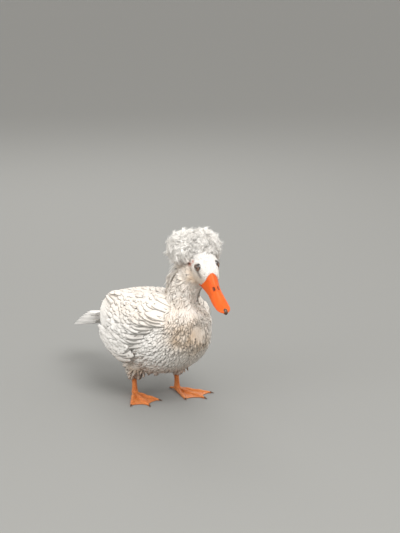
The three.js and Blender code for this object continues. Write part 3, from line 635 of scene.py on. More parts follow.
def on_head(points):
    """True on the head, clear of the eyes and of the bill's root."""
    head = turned(head_inverse, points)
    eyes = np.minimum(
        np.hypot(head[:, 0] - 9, head[:, 2] - 12.5) + 40 * (head[:, 1] < 0),
        np.hypot(head[:, 0] - 9, head[:, 2] - 12.5) + 40 * (head[:, 1] > 0),
    )
    bill_half = 11.5 * np.sqrt(np.maximum(1 - ((head[:, 2] + 16) / 27) ** 2, 0))
    bill_root = (head[:, 0] > 27) & (np.abs(head[:, 1]) < bill_half) & (head[:, 2] > -20)
    bare = near(head, (-7, -21, 7.5), (-16, -22, 3.5), 2.0) > 0.4
    return (points[:, 2] > 205) & ((head[:, 0] > -16) | (head[:, 2] > 0)) & (eyes > 5.6) & ~bill_root & ~bare


root, normal, place = roots_on_skin(1.3, on_head, 7)
draw = np.random.default_rng(71)
feathers = len(root)
ahead = unit(lie_of_coat(root, normal) + 0.2 * draw.normal(size=root.shape))
ahead = unit(ahead - normal * np.sum(ahead * normal, -1, keepdims=True))
near_face = smooth_step(turned(head_inverse, root)[:, 0], -14, 22)
length = (6.6 - 2.9 * near_face) * (0.75 + 0.5 * draw.random(feathers))
path, face = bent_shafts(root, ahead, normal, length, radians(15) + 0.2 * draw.random(feathers), np.full(feathers, radians(20)), 0.7 * draw.normal(size=feathers), 4)
half = (0.9 * (0.8 + 0.4 * draw.random(feathers)) * (1 - 0.2 * near_face))[:, None] * np.array([0.5, 1.0, 0.85, 0.25])
head_coat = feather_mesh("coat_head", path, face, half, np.full_like(half, 0.16), small_section, place)
head_coat.data.materials.append(plumage("head_feathers", barbs=10.0, depth=0.3))

# Thigh coat. Soft downy feathers hang round each thigh as a short trouser over the top of the shank.
root, normal, place = roots_on_skin(3.6, lambda points: (points[:, 2] <= 52) & (points[:, 2] > 34.6) & (np.abs(points[:, 1]) > 12), 9)
draw = np.random.default_rng(91)
feathers = len(root)
ahead = unit(lie_of_coat(root, normal) + 0.25 * draw.normal(size=root.shape))
length = 11 * (0.75 + 0.5 * draw.random(feathers))
path, face = bent_shafts(root, ahead, normal, length, radians(24) + 0.2 * draw.random(feathers), np.full(feathers, radians(40)), 1.5 * draw.normal(size=feathers), 5)
half = 3.0 * (0.8 + 0.4 * draw.random(feathers))[:, None] * body_outline
thigh_coat = feather_mesh("coat_thighs", path, face, half, np.full_like(half, 0.4), small_section, place)
thigh_coat.data.materials.append(plumage("thigh_feathers"))

# Crest. A soft cushion of skin and down on the back of the skull carries long loose feathers. They
# grow as two lobes with a parting between them: each plume rises from the down and bends over, so that
# the lobes are round and soft, with curled tufts and thin wisps round their edges.
crest_at = np.array([-40.0, 0, 12])
crest_core = np.array([16.0, 21, 17])
lobe_core = np.array([15.0, 14, 14])
# Each lobe: side, middle, reach in three directions, flare of its ends and seed. The right one is
# fuller and lies lower.
lobes = {
    "left": (1, np.array([-36.0, 9, 16]), np.array([28.0, 26, 26]), 3.0, 111),
    "right": (-1, np.array([-44.0, -18, 11]), np.array([32.0, 28, 28]), 0.8, 113),
}
head_axes = np.array(head_matrix)[:3, :3]
core_angle = np.linspace(0.02, pi - 0.02, 24)[:, None]
ball = np.stack(np.broadcast_arrays(
    np.sin(core_angle) * np.cos(turn), np.sin(core_angle) * np.sin(turn), np.cos(core_angle)
), -1)
points, triangles = closed_grid(turned(head_matrix, crest_at + 1.1 * ball * crest_core))
crest_cushion = mesh_from("crest_cushion", in_frame(points), facing_out(points, triangles))
cushion_paint = plumage("crest_down", root_shade=0.0)
crest_cushion.data.materials.append(cushion_paint)
mark(crest_cushion, points)
crest_cushion.data.uv_layers.new(name="UVMap")
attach(crest_cushion, "root")


def lobe_plumes(side, lobe_at, lobe_reach, tufts, in_tuft, spread, reach, flare, curl, stations, seed):
    """The plumes of one lobe. Tufts point evenly over a ball by the golden angle, each with a pole of
    its own near the top. A plume starts on the core nearer the pole and turns away by its angle, while its distance from
    the middle grows from the core to the reach as a quarter sine, so that its end lies along the
    lobe. Flare lifts the end outwards with the cube of the share, and curl turns it sideways."""
    draw = np.random.default_rng(seed)
    order = np.arange(tufts)
    rise = 1 - 1.46 * (order + 0.5) / tufts
    flat = np.sqrt(np.maximum(1 - rise**2, 0))
    directions = np.stack([flat * np.cos(2.39996 * order), flat * np.sin(2.39996 * order), rise], -1)
    lean = Matrix.Rotation(radians(-24), 3, "Y") @ Matrix.Rotation(radians(-16 * side), 3, "X")
    lean = np.array(lean)
    directions = unit(directions @ lean.T + 0.07 * draw.normal(size=directions.shape))
    directions = directions[side * directions[:, 1] > -0.7]
    member = np.repeat(np.arange(len(directions)), in_tuft)
    own = draw.normal(size=(len(directions), 3))
    ends = unit(directions[member] + spread * draw.normal(size=(len(member), 3)))
    pole = unit(lean @ np.array([0, 0, 1.0]) + 0.42 * draw.normal(size=directions.shape))[member]
    facing = np.sum(ends * pole, -1)
    apart = np.arccos(np.clip(facing, -1, 1))
    away = unit(ends - pole * facing[:, None])
    t = np.linspace(0, 1, stations)
    begin = np.maximum(apart - radians(38) * (1 + 0.25 * own[member, 0]), 0.03)
    angle = begin[:, None] + (apart - begin)[:, None] * t**0.85
    way = pole[:, None] * np.cos(angle)[..., None] + away[:, None] * np.sin(angle)[..., None]
    inner = 0.8 * np.linalg.norm(way * lobe_core, axis=-1)
    outer = np.linalg.norm(way * lobe_reach, axis=-1)
    scale = reach[0] + (reach[1] - reach[0]) * draw.random(len(member)) + 0.035 * own[member, 1]
    grown = inner + (outer * scale[:, None] - inner) * np.sin(pi / 2 * t) ** 0.9
    grown = grown + (flare * (0.4 + draw.random(len(member))))[:, None] * t**3
    across = np.cross(away, pole)
    drift = (curl * own[member, 2] + 0.35 * curl * draw.normal(size=len(member)))[:, None] * t**2
    path = lobe_at + way * grown[..., None] + across[:, None] * drift[..., None]
    return turned(head_matrix, path), way @ head_axes.T, ends


plume_outline = np.array([0.4, 0.7, 0.92, 1, 1, 0.88, 0.62, 0.16])
wisp_outline = np.array([0.8, 1, 0.9, 0.6, 0.25])
for word, (side, lobe_at, lobe_reach, flare, seed) in lobes.items():
    for label, tufts, in_tuft, spread, reach, width, outline in (
        ("plumes", 125, 30, 0.12, (0.82, 1.0), 1.5, plume_outline),
        ("wisps", 420, 4, 0.12, (0.9, 1.06), 0.6, wisp_outline),
        ("curls", 26, 12, 0.05, (1.04, 1.22), 0.7, wisp_outline),
    ):
        path, face, ends = lobe_plumes(
            side, lobe_at, lobe_reach, tufts, in_tuft, spread, reach, flare, 5.0, len(outline), seed
        )
        draw = np.random.default_rng(seed + 4)
        half = width * (0.6 + 0.7 * draw.random(len(path)))[:, None] * outline
        half = half * (1 + 0.14 * draw.normal(size=half.shape))
        crest = feather_mesh(
            f"crest_{label}_{word}", path, face, half, np.full_like(half, 0.2), small_section,
            0.5 + 0.42 * ends[:, :2], camber=0.3,
        )
        crest.data.materials.append(plumage(f"crest_{label}_{word}", barbs=24.0, depth=0.3))
        if (label, word) == ("plumes", "left"):
            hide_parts("crest")

# Nape. Long loose plumes hang from under the crest over the back of the head and the top of the neck,
# and join the crest to the neck's coat.


def on_nape(points):
    """True on the back of the head and the neck under the crest."""
    head = turned(head_inverse, points)
    return (points[:, 2] > 196) & (head[:, 0] < -14) & (head[:, 0] + 0.5 * np.abs(head[:, 1]) < -7)


root, normal, place = roots_on_skin(2.1, on_nape, 13)
draw = np.random.default_rng(131)
feathers = len(root)
ahead = unit(lie_of_coat(root, normal) + 0.25 * draw.normal(size=root.shape) + (-0.25, 0, -0.7))
ahead = unit(ahead - normal * np.sum(ahead * normal, -1, keepdims=True))
length = (14 + 11 * smooth_step(root[:, 2], 200, 230)) * (0.8 + 0.4 * draw.random(feathers))
rise = radians(46) + 0.35 * draw.random(feathers)
bend = radians(66) + 0.7 * draw.random(feathers)
path, face = bent_shafts(root, ahead, normal, length, rise, bend, 3.0 * draw.normal(size=feathers), 8)
half = 1.6 * (0.6 + 0.7 * draw.random(feathers))[:, None] * plume_outline
nape = feather_mesh("coat_nape", path, face, half, np.full_like(half, 0.2), small_section, place, camber=0.28)
nape.data.materials.append(plumage("nape_plumes", barbs=24.0, depth=0.3))

# Wings. Each folded wing is a feathered arm along the flank. From it lie tiers of stiff feathers,
# each tier over the next: small coverts, great coverts, long secondaries and tertials, and primaries.
wing_front, wing_rear, wing_thick, wing_sunk = 86, -30, 8, -3


def wing_low(s):
    """The angle round the body of the wing's lower edge: falls behind the shoulder, then climbs."""
    t = np.clip((wing_front - s) / (wing_front + torso_rear), 0, 1)
    return np.radians(26 - 42 * np.minimum(t / 0.34, 1)) + radians(46) * np.clip((t - 0.34) / 0.66, 0, 1) ** 1.7


def settled(q):
    """The share of its lift that a feather keeps: less near the back, where the wings lie low."""
    return 0.45 + 0.55 * smooth_step(q, 0.04, 0.36)


def wing_point(side, s, q, lift):
    """A place on the wing, s along the body and q from 0 near the back to 1 at the lower edge, as a
    point of the body's carrier surface lifted off it."""
    angle = radians(84) * (1 - q) + wing_low(s) * q
    return torso_point(s, angle, lift, True) * np.array([1, side, 1])


def arm_lift(s, q):
    """How far the arm's surface stands off the body: a bulge along it, rounded off at both edges."""
    along = np.clip((wing_front - s) / (wing_front - wing_rear), 0, 1)
    bulge = wing_thick * np.minimum(1.5 * np.sin(pi * np.clip(1.05 * along, 0, 0.95)), 1) ** 0.6
    return wing_sunk + (bulge - wing_sunk) * np.maximum(1 - (2 * q - 1) ** 2, 0) ** 0.25


def wing_row(side, count, root, tip, lifts, half, lap, outline, on_arm=False, jitter=0.0, seed=1):
    """One tier. Its first and last feathers run from root to tip as (s, q), and the rest lie evenly
    between. Each is as wide as its lap over the next one asks, and tilts to clear it. Gives the
    shafts, faces and half widths."""
    draw = np.random.default_rng(seed)
    k = np.linspace(0, 1, count)[:, None]
    t = np.linspace(0, 1, len(outline))[None]
    stagger = jitter * draw.normal(size=(count, 1))
    s = (root[0] + (root[2] - root[0]) * k) * (1 - t) + (tip[0] + (tip[2] - tip[0]) * k + stagger) * t
    q = (root[1] + (root[3] - root[1]) * k) * (1 - t) + (tip[1] + (tip[3] - tip[1]) * k) * t
    lift = (lifts[0] + (lifts[1] - lifts[0]) * t) * settled(q)
    if on_arm:
        lift = lift + np.maximum(arm_lift(s, q), 0)
    path = wing_point(side, s, q, lift)
    down = unit(wing_point(side, s, q + 0.02, lift) - wing_point(side, s, q - 0.02, lift))
    ahead = wing_point(side, s + 1, q, lift) - wing_point(side, s - 1, q, lift)
    out = unit(np.cross(ahead, down)) * side
    step = (path[1:] - path[:-1]) if count > 1 else path * 0 + 8
    space = np.abs(np.sum(step * down[1:], -1))
    space = np.concatenate([space[:1], space])
    width = np.minimum(lap * space, half) * outline
    tilt = np.minimum(0.8 / np.maximum(space, 4) + 0.004 * space, 0.2)[..., None]
    return path, out * np.cos(tilt) - down * np.sin(tilt), width


def cover_lift(s, q):
    """The height that the small coverts lie on: the arm's surface, and behind it the great coverts,
    which climb as they run back."""
    behind = (5.4 + 5 * np.clip((18 - s) / 56, 0, 1)) * smooth_step(-s, -26, -10) * settled(q)
    return np.maximum(np.maximum(arm_lift(s, np.clip(q, 0, 1)), 0), behind)


flight_outline = np.array([0.8, 0.95, 1, 1, 1, 1, 0.97, 0.88, 0.68, 0.2])
covert_outline = np.array([0.6, 0.9, 1, 1, 0.9, 0.68, 0.2])
flight_section = ((-1, 0), (-0.5, 0.75), (-0.1, 1.0), (0.45, 0.75), (1, 0), (0, 0.1))
# Each tier: name, count, root and tip as (s, q, s, q), lifts, half width, lap, outline, on the arm.
tiers = [
    ("primaries", 9, (-18, 0.8, -20, 0.44), (-138, 0.62, -162, 0.2), (1.6, 3), 8, 1.25, flight_outline, False),
    ("secondaries", 12, (-12, 0.97, -16, 0.34), (-84, 0.97, -134, 0.34), (4.0, 6.8), 8, 1.0, flight_outline, False),
    ("tertials", 5, (-10, 0.44, -6, 0.08), (-132, 0.38, -104, 0.08), (5, 10.2), 9.5, 0.85, flight_outline, False),
    ("great_coverts", 14, (18, 0.96, 10, 0.1), (-36, 0.97, -50, 0.1), (6, 11), 7, 1.05, covert_outline, False),
]


def tile_rows(side, fronts, edges, spacing, length, half, lifts, drift, seed):
    """Small feathers over the arm in staggered rows. Each row crosses the wing between two edges, with
    one feather to each step of the spacing along the surface, and each feather lies back over the
    next row along the body, at its root's own angle round it, rising from that hidden root. Gives
    the shafts, faces and half widths."""
    draw = np.random.default_rng(seed)
    t = np.linspace(0, 1, len(covert_outline))[None]
    shafts, faces, widths = [], [], []
    for row, front in enumerate(fronts):
        line = np.linspace(edges[0], edges[1], 80)
        walk = wing_point(side, front + 0 * line, line, cover_lift(front, line))
        run = np.concatenate([[0], np.cumsum(np.linalg.norm(np.diff(walk, axis=0), axis=1))])
        steps = np.arange(0.5 * (row % 2) * spacing, run[-1], spacing)
        steps = steps + 0.2 * spacing * draw.normal(size=len(steps))
        start = front + 1.6 * draw.normal(size=(len(steps), 1))
        over = 0.3 * (-1.0) ** np.arange(len(steps))[:, None]
        q = np.interp(steps, run, line)[:, None]
        held = radians(84) * (1 - q) + wing_low(start) * q
        s = start - length * (0.9 + 0.2 * draw.random((len(steps), 1))) * t
        q = np.minimum((radians(84) - held) / (radians(84) - wing_low(s)), edges[1] + 0.03)
        q = q + (drift + 0.025 * draw.normal(size=(len(steps), 1))) * t
        lift = cover_lift(s, q) + lifts[0] + (lifts[1] - lifts[0] + over) * t
        path = wing_point(side, s, q, lift)
        down = unit(wing_point(side, s, q + 0.02, lift) - wing_point(side, s, q - 0.02, lift))
        ahead = wing_point(side, s + 1, q, lift) - wing_point(side, s - 1, q, lift)
        out = unit(np.cross(ahead, down)) * side
        tilt = 0.03 + 0.04 * draw.normal(size=(len(steps), 1, 1))
        shafts.append(path)
        faces.append(out * np.cos(tilt) - down * np.sin(tilt))
        widths.append(half * (0.9 + 0.2 * draw.random((len(steps), 1))) * covert_outline)
    return np.concatenate(shafts), np.concatenate(faces), np.concatenate(widths)


for side, word in ((1, "left"), (-1, "right")):
    along = np.linspace(0.0, 1, 40)[:, None]
    around = np.linspace(0, 1, 48, endpoint=False)[None]
    s = wing_front + (wing_rear - wing_front) * along + 0 * around
    opened = np.minimum(1, 4 * along + 0.35)
    q = 0.5 - 0.5 * np.cos(2 * pi * around) * opened
    lift = np.where(around < 0.5, wing_sunk, arm_lift(s, 0.5 - 0.5 * np.cos(2 * pi * around)) - 0.8)
    points, triangles = closed_grid(wing_point(side, s, q, lift))
    arm = mesh_from(f"wing_arm_{word}", in_frame(points), facing_out(points, triangles))
    arm.data.materials.append(cushion_paint)
    mark(arm, points)
    arm.data.uv_layers.new(name="UVMap")
    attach(arm, "root")
    for outline_now, label in ((flight_outline, "flight"), (covert_outline, "coverts")):
        rows = [
            wing_row(side, count, root, tip, lifts, half, lap, outline, on_arm, 2.0, seed)
            for seed, (name, count, root, tip, lifts, half, lap, outline, on_arm) in enumerate(tiers)
            if outline is outline_now
        ]
        if label == "coverts":
            rows.append(tile_rows(side, np.arange(88, -20, -6.5), (0.04, 0.98), 6.8, 25, 6.4, (-0.8, 1.7), 0.02, 41))
            rows.append(tile_rows(side, np.arange(76, -60, -9), (-0.04, 0.20), 7.0, 34, 6.6, (0.4, 2.6), 0.05, 43))
            rows.append(tile_rows(side, np.arange(100, -50, -9), (0.92, 1.14), 7.5, 34, 6.6, (-1.2, 2.6), -0.03, 47))
        path, face, width = (np.concatenate([row[n] for row in rows]) for n in range(3))
        own = turned(body_matrix.inverted(), path[:, 0])
        places = np.stack([0.5 + own[:, 0] / 420, 0.5 + own[:, 2] / 420], -1)
        wing = feather_mesh(f"wing_{label}_{word}", path, face, width, np.full_like(width, 0.7 if label == "flight" else 0.3), flight_section, places, camber=0.09)
        wing.data.materials.append(plumage(f"wing_{label}_{word}", barbs=60.0 if label == "flight" else 30.0))
        if label == "flight":
            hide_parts(f"wing_{word}")

# Tail. A short fan of stiff feathers stands behind the rump, the middle ones on top, with rows of
# softer feathers over and under its root.
tail_matrix = (
    body_matrix
    @ Matrix.Translation((-122, 0, 19))
    @ Matrix.Rotation(radians(-5), 4, "Y")
    @ Matrix.Rotation(pi, 4, "Z")
)
tail_axes = np.array(tail_matrix)[:3, :3]


def tail_row(start, yaw, length, half, height, roll, pitch, outline):
    """Feathers of the fan as arrays: each starts at its place across the root, is spread by its yaw
    and raised by its height, and settles to it over its first third."""
    t = np.linspace(0, 1, len(outline))
    ahead = np.stack([np.cos(yaw) * np.cos(pitch), np.sin(yaw) * np.cos(pitch), np.sin(pitch)], -1)
    settle = 0.35 + 0.65 * np.minimum(t / 0.35, 1)
    path = start[:, None] + ahead[:, None] * (length[:, None] * t)[..., None]
    path[..., 2] += height[:, None] * settle
    up = np.stack([0 * roll, -np.sin(roll), np.cos(roll)], -1) @ tail_axes.T
    return turned(tail_matrix, path), np.broadcast_to(up[:, None], path.shape), half[:, None] * outline


pairs = np.arange(9)
rows = []
for side in (-1, 1):
    spread = side * (pairs + 0.5)
    start = np.stack([8 + 0 * spread, 1.7 * spread, 0 * spread], -1)
    height = 2.2 - 1.85 * pairs - (0.9 if side > 0 else 0)
    rows.append(tail_row(start, np.radians(2.75 * spread), 92 - 2.0 * pairs, np.full(9, 9.5), height, np.radians(1.1 * spread), np.full(9, radians(1.5)), flight_outline))
for over, count, begin, width, fan, long, height, pitch in (
    (1, 9, 2, 17, 11, 50, 5.4, -2), (1, 8, -8, 15, 9, 44, 9.0, -4.5), (1, 9, -18, 18, 9, 38, 11.5, -5.5),
    (-1, 9, 0, 15, 9, 56, -9, -1), (-1, 8, -10, 14, 8, 48, -12, -2), (-1, 9, -20, 17, 8, 42, -14, -3),
):
    across = np.linspace(-1, 1, count)
    start = np.stack([begin + 0 * across, across * width, 0 * across], -1)
    level = height - over * 3.0 * across**2 * (1 if over > 0 else 0.6) - 0.8 * (np.arange(count) % 2)
    outline = np.interp(np.linspace(0, 1, 10), np.linspace(0, 1, 7), covert_outline)
    rows.append(tail_row(start, np.radians(across * fan * 1.3), long - 5 * np.abs(across), np.full(count, 6.5), level, np.radians(across * 20), np.full(count, radians(pitch)), outline))
path, face, width = (np.concatenate([row[n] for row in rows]) for n in range(3))
own = turned(tail_matrix.inverted(), path[:, 0])
tail = feather_mesh("tail_feathers", path, face, width, np.full_like(width, 0.8), flight_section, np.stack([0.5 + own[:, 0] / 150, 0.5 + own[:, 1] / 150], -1), camber=0.06)
tail.data.materials.append(plumage("tail_vanes", barbs=60.0))
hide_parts("tail")
points = np.stack(np.broadcast_arrays(
    np.linspace(-20, 40, 16)[:, None],
    np.linspace(29, 18, 16)[:, None] * np.cos(turn),
    np.where(np.sin(turn) > 0, np.linspace(14, 3.5, 16)[:, None], np.linspace(18, 4, 16)[:, None]) * np.sin(turn) - np.linspace(4, 0, 16)[:, None],
), -1)
points, triangles = closed_grid(turned(tail_matrix, points))
tail_root = mesh_from("tail_root", in_frame(points), facing_out(points, triangles))
tail_root.data.materials.append(cushion_paint)
mark(tail_root, points)
tail_root.data.uv_layers.new(name="UVMap")
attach(tail_root, "root")

# Eyes. Each is a dark brown ball, deep in its socket, with a black pupil and a wet clear front.
# A ring of bare dark skin, thicker above, makes the upper and lower lid.
eye_at, eye_radius = np.array([9.0, 14.5, 12.5]), 6.0
eye_paint = Paint("eye_wet", Roughness=0.06, Coat_Weight=1.0, Coat_Roughness=0.02)
eye_uv = eye_paint.add("ShaderNodeUVMap", {"uv_map": "UVMap"}).outputs[0]
from_pupil = eye_paint.add("ShaderNodeSeparateXYZ", Vector=eye_uv).outputs[1]
iris = eye_paint.mix(eye_paint.ramp(from_pupil, 0.14, 0.17), (0.004, 0.003, 0.003, 1), (0.075, 0.032, 0.014, 1))
eye_paint.colour(eye_paint.mix(eye_paint.ramp(from_pupil, 0.24, 0.28), iris, (0.02, 0.01, 0.007, 1)))
lid_paint = Paint("lid_skin", Roughness=0.5)
lid_paint.colour(lid_paint.mix(lid_paint.noise(700, 3), (0.10, 0.055, 0.035, 1), (0.26, 0.15, 0.10, 1)))
lid_paint.bump(lid_paint.noise(1800, 3), 0.5, 0.0003)
for side, word in ((1, "left"), (-1, "right")):
    polar = np.linspace(0.03, pi - 0.03, 28)[:, None]
    ball = np.stack(np.broadcast_arrays(
        np.sin(polar) * np.cos(turn), side * np.cos(polar), np.sin(polar) * np.sin(turn)
    ), -1)
    points, triangles = closed_grid(turned(head_matrix, eye_at * (1, side, 1) + eye_radius * ball))
    eyeball = mesh_from(f"eye_{word}_ball", in_frame(points), facing_out(points, triangles))
    rows = np.concatenate([np.repeat(np.linspace(0, 1, 28), len(turn)), [0, 1]])
    corner = np.zeros(len(eyeball.data.loops), np.int32)
    eyeball.data.loops.foreach_get("vertex_index", corner)
    layer = eyeball.data.uv_layers.new(name="UVMap")
    layer.data.foreach_set("uv", np.stack([0.5 + 0 * rows[corner], rows[corner]], -1).astype(np.float32).ravel())
    eyeball.data.materials.append(eye_paint.material)
    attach(eyeball, "root")
    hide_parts(f"eye_{word}")
    around = np.linspace(0, 2 * pi, 72, endpoint=False)[:, None]
    tube = np.linspace(0, 2 * pi, 14, endpoint=False)[None]
    upper = 0.5 + 0.5 * np.sin(around)
    ring = 5.2 - 0.85 * upper + (0.75 + 0.45 * upper) * np.cos(tube)
    ring = ring + 0.25 * np.sin(3 * tube) * np.cos(tube)
    x = 1.14 * ring * np.cos(around)
    z = 0.88 * ring * np.sin(around)
    bulge = 1.15 * np.sin(tube) - 0.022 * (x**2 + z**2) + 0.5 * np.cos(2 * around)
    x, z, bulge = np.broadcast_arrays(x, z, bulge)
    points = np.stack([eye_at[0] + x - 0.10 * bulge, side * (18.3 + bulge - 0.14 * x - 0.22 * z), eye_at[2] + z], -1)
    rings, tubes = points.shape[:2]
    i, k = np.meshgrid(np.arange(rings), np.arange(tubes), indexing="ij")
    a, b = i * tubes + k, i * tubes + (k + 1) % tubes
    c, d = (i + 1) % rings * tubes + k, (i + 1) % rings * tubes + (k + 1) % tubes
    triangles = np.concatenate([np.stack([a, b, c], -1).reshape(-1, 3), np.stack([b, d, c], -1).reshape(-1, 3)])
    points = turned(head_matrix, points.reshape(-1, 3))
    lids = mesh_from(f"lids_{word}", in_frame(points), facing_out(points, triangles))
    lids.data.materials.append(lid_paint.material)
    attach(lids, "root")

# Bill. Upper and lower halves of bone under smooth orange skin, with a hollowed ridge, a rounded
# spoon-shaped end, a nostril on each side, and a hard horn nail at the tip.
bill_length, lower_length = 81, 75
bill_matrix = head_matrix @ Matrix.Translation((16, 0, -14.5)) @ Matrix.Rotation(radians(2), 4, "Y")


def bill_width(share):
    """Half the width: a wide gape, a slimmer middle and a broad round end."""
    gape = 5.6 * np.maximum(1 - share / 0.36, 0) ** 1.3
    spoon = 1.1 * np.sin(pi * np.clip((share - 0.35) / 0.62, 0, 1)) ** 2
    end = np.sqrt(np.maximum(1 - (np.maximum(share - 0.8, 0) / 0.2) ** 2.4, 0))
    return (10.4 + gape + spoon) * end


def mouth_line(share):
    """The height of the mouth line: a shallow dip in its middle."""
    return -2.2 * np.sin(pi * np.clip(share, 0, 1)) + 0.6


def bill_paint(name, base, deep):
    """Smooth waxy skin: orange that deepens in soft patches, with fine pits and fine noise in its bump."""
    paint = Paint(name, Roughness=0.42, Specular_IOR_Level=0.32, Subsurface_Weight=0.12, Subsurface_Scale=0.002)
    where = paint.add("ShaderNodeTexCoord").outputs["Object"]
    cloud = paint.ramp(paint.noise(90, 4), 0.3, 0.7)
    colour = paint.mix(paint.math("MULTIPLY", cloud, 0.55), base, deep)
    # Painted shade: the colour turns near black where the hollow attribute marks each nostril, standing for the shade
    # inside the opening.
    nostril_painted_shade = paint.add("ShaderNodeAttribute", {"attribute_name": "hollow"}).outputs["Fac"]
    colour = paint.mix(nostril_painted_shade, colour, (0.10, 0.022, 0.010, 1))
    paint.colour(colour)
    pits = paint.add("ShaderNodeTexVoronoi", Vector=where, Scale=900.0).outputs["Distance"]
    paint.bump(paint.math("ADD", pits, paint.noise(260, 4)), 0.25, 0.0004)
    return paint.material


along = np.linspace(0.015, 1, 140)[:, None]
share = (1 - np.cos(pi * along)) / 2
angle = np.linspace(0, 2 * pi, 110, endpoint=False)[None]
ridge = (4.6 + 28.4 * np.maximum(1 - share / 0.9, 0) ** 1.35) * (0.86 + 0.14 * smooth_step(share, 0.0, 0.16))
ridge = ridge * np.sqrt(np.maximum(1 - (np.maximum(share - 0.86, 0) / 0.14) ** 2.5, 0))
rise = np.where(np.sin(angle) > 0, ridge * np.abs(np.sin(angle)) ** 1.15, 0.7 * np.sin(angle))
x = share * bill_length + 0 * angle
y = bill_width(share) * (0.78 + 0.22 * smooth_step(share, 0.0, 0.13)) * np.cos(angle)
z = mouth_line(share) + rise
along_slit = (x - 34) * cos(radians(20)) - (z - 12.6) * sin(radians(20))
across_slit = (x - 34) * sin(radians(20)) + (z - 12.6) * cos(radians(20))
hollow = np.exp(-((along_slit / 3.4) ** 4 + (across_slit / 1.5) ** 4)) * (np.abs(np.cos(angle)) > 0.2)
groove = np.exp(-((along_slit / 11) ** 2 + (across_slit / 3.0) ** 2))
y = y - np.sign(y) * (2.6 * hollow + 0.8 * groove)
lip = np.exp(-((np.sin(angle) / 0.16) ** 2)) * smooth_step(share, 0.12, 0.3) * (1 - smooth_step(share, 0.85, 0.97))
y = y + np.sign(y) * 0.45 * lip * np.cos(angle) ** 2
points, triangles = closed_grid(turned(bill_matrix, np.stack([x, y, z], -1)))
bill_upper = mesh_from("bill_upper_skin", in_frame(points), facing_out(points, triangles))
# The hollow attribute carries the nostril mask that bill_paint paints near black as painted shade.
layer = bill_upper.data.attributes.new("hollow", "FLOAT", "POINT")
layer.data.foreach_set("value", np.concatenate([np.clip(1.4 * hollow, 0, 1).ravel(), [0, 0]]).astype(np.float32))
bill_upper.data.materials.append(bill_paint("bill_orange", (0.71, 0.108, 0.002, 1), (0.60, 0.06, 0.001, 1)))
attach(bill_upper, "root")
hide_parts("bill_upper")
along = np.linspace(0.015, 0.99, 60)[:, None]
share = (1 - np.cos(pi * along)) / 2
reach = share * lower_length / bill_length
width = np.maximum(bill_width(reach) - 0.9, 0) * np.sqrt(np.maximum(1 - np.maximum((share - 0.82) / 0.18, 0) ** 2, 0))
depth = 7.5 + (3.4 - 7.5) * np.minimum(share * 1.3, 1)
drop = np.where(np.sin(angle) < 0, depth * np.abs(np.sin(angle)) ** 1.1, -0.5 * np.sin(angle))
points = np.stack(np.broadcast_arrays(share * lower_length, width * np.cos(angle), mouth_line(reach) - 1.9 - drop), -1)
points, triangles = closed_grid(turned(bill_matrix, points))
bill_lower = mesh_from("bill_lower_skin", in_frame(points), facing_out(points, triangles))
bill_lower.data.materials.append(bill_paint("bill_orange_lower", (0.70, 0.09, 0.005, 1), (0.58, 0.05, 0.003, 1)))
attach(bill_lower, "root")
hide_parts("bill_lower")
polar = np.linspace(0.04, pi - 0.04, 26)[:, None]
shield = np.stack(np.broadcast_arrays(np.cos(polar), np.sin(polar) * np.cos(turn), np.sin(polar) * np.sin(turn)), -1)
shield = shield * np.array([5.4, 4.0, 2.8])
shield[..., 2] -= 0.02 * shield[..., 0] ** 2
nail_matrix = bill_matrix @ Matrix.Translation((bill_length - 3.4, 0, 1.5)) @ Matrix.Rotation(radians(32), 4, "Y")
points, triangles = closed_grid(turned(nail_matrix, shield))
bill_nail = mesh_from("bill_nail_horn", in_frame(points), facing_out(points, triangles))
horn_paint = Paint("nail_horn", Roughness=0.35, Specular_IOR_Level=0.5)
horn_paint.colour(horn_paint.mix(horn_paint.ramp(horn_paint.noise(300, 4), 0.3, 0.7), (0.045, 0.02, 0.011, 1), (0.13, 0.06, 0.028, 1)))
horn_paint.bump(horn_paint.noise(1200, 3), 0.3, 0.0003)
bill_nail.data.materials.append(horn_paint.material)
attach(bill_nail, "root")
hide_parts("bill_nail")

# Legs and feet. Each is one orange skin with small scales: a bare shank, three long front toes with a
# web between them, and a short hind toe. A horn claw sits at the end of each toe.
toes = ((-27, 55, 3.6), (2, 68, 4.0), (29, 62, 3.7))
foot_turn, web_thick = 9, 1.7
leg_paint = Paint("leg_scales", Roughness=0.5, Specular_IOR_Level=0.4)
place = leg_paint.add("ShaderNodeTexCoord").outputs["Object"]
scale_cells = leg_paint.add("ShaderNodeTexVoronoi", {"feature": "DISTANCE_TO_EDGE"}, Vector=place, Scale=520.0).outputs["Distance"]
joint_line = leg_paint.ramp(scale_cells, 0.0, 0.09)
warm = leg_paint.mix(leg_paint.ramp(leg_paint.noise(110, 4), 0.3, 0.7), (0.62, 0.17, 0.035, 1), (0.72, 0.25, 0.06, 1))
leg_paint.colour(leg_paint.mix(joint_line, (0.33, 0.085, 0.03, 1), warm))
leg_paint.bump(joint_line, 0.7, 0.0006)


def finger(start, end, radius, knuckles):
    """A toe: a tube that thins towards its end, with a swelling at each knuckle."""
    t = np.linspace(0, 1, 40)[:, None]
    angle = np.linspace(0, 2 * pi, 24, endpoint=False)[None]
    size = radius * (1 - 0.45 * t) * (1 + 0.13 * np.cos(2 * pi * knuckles * t)) * np.minimum(1, 6 * (1.04 - t)) ** 0.5
    across = unit(np.array([end[1] - start[1], start[0] - end[0], 0.0]))
    middle = np.asarray(start)[None] * (1 - t) + np.asarray(end)[None] * t
    return middle[:, None] + across * (size * np.cos(angle))[..., None] + np.array([0, 0, 1.05]) * (size * np.sin(angle))[..., None]


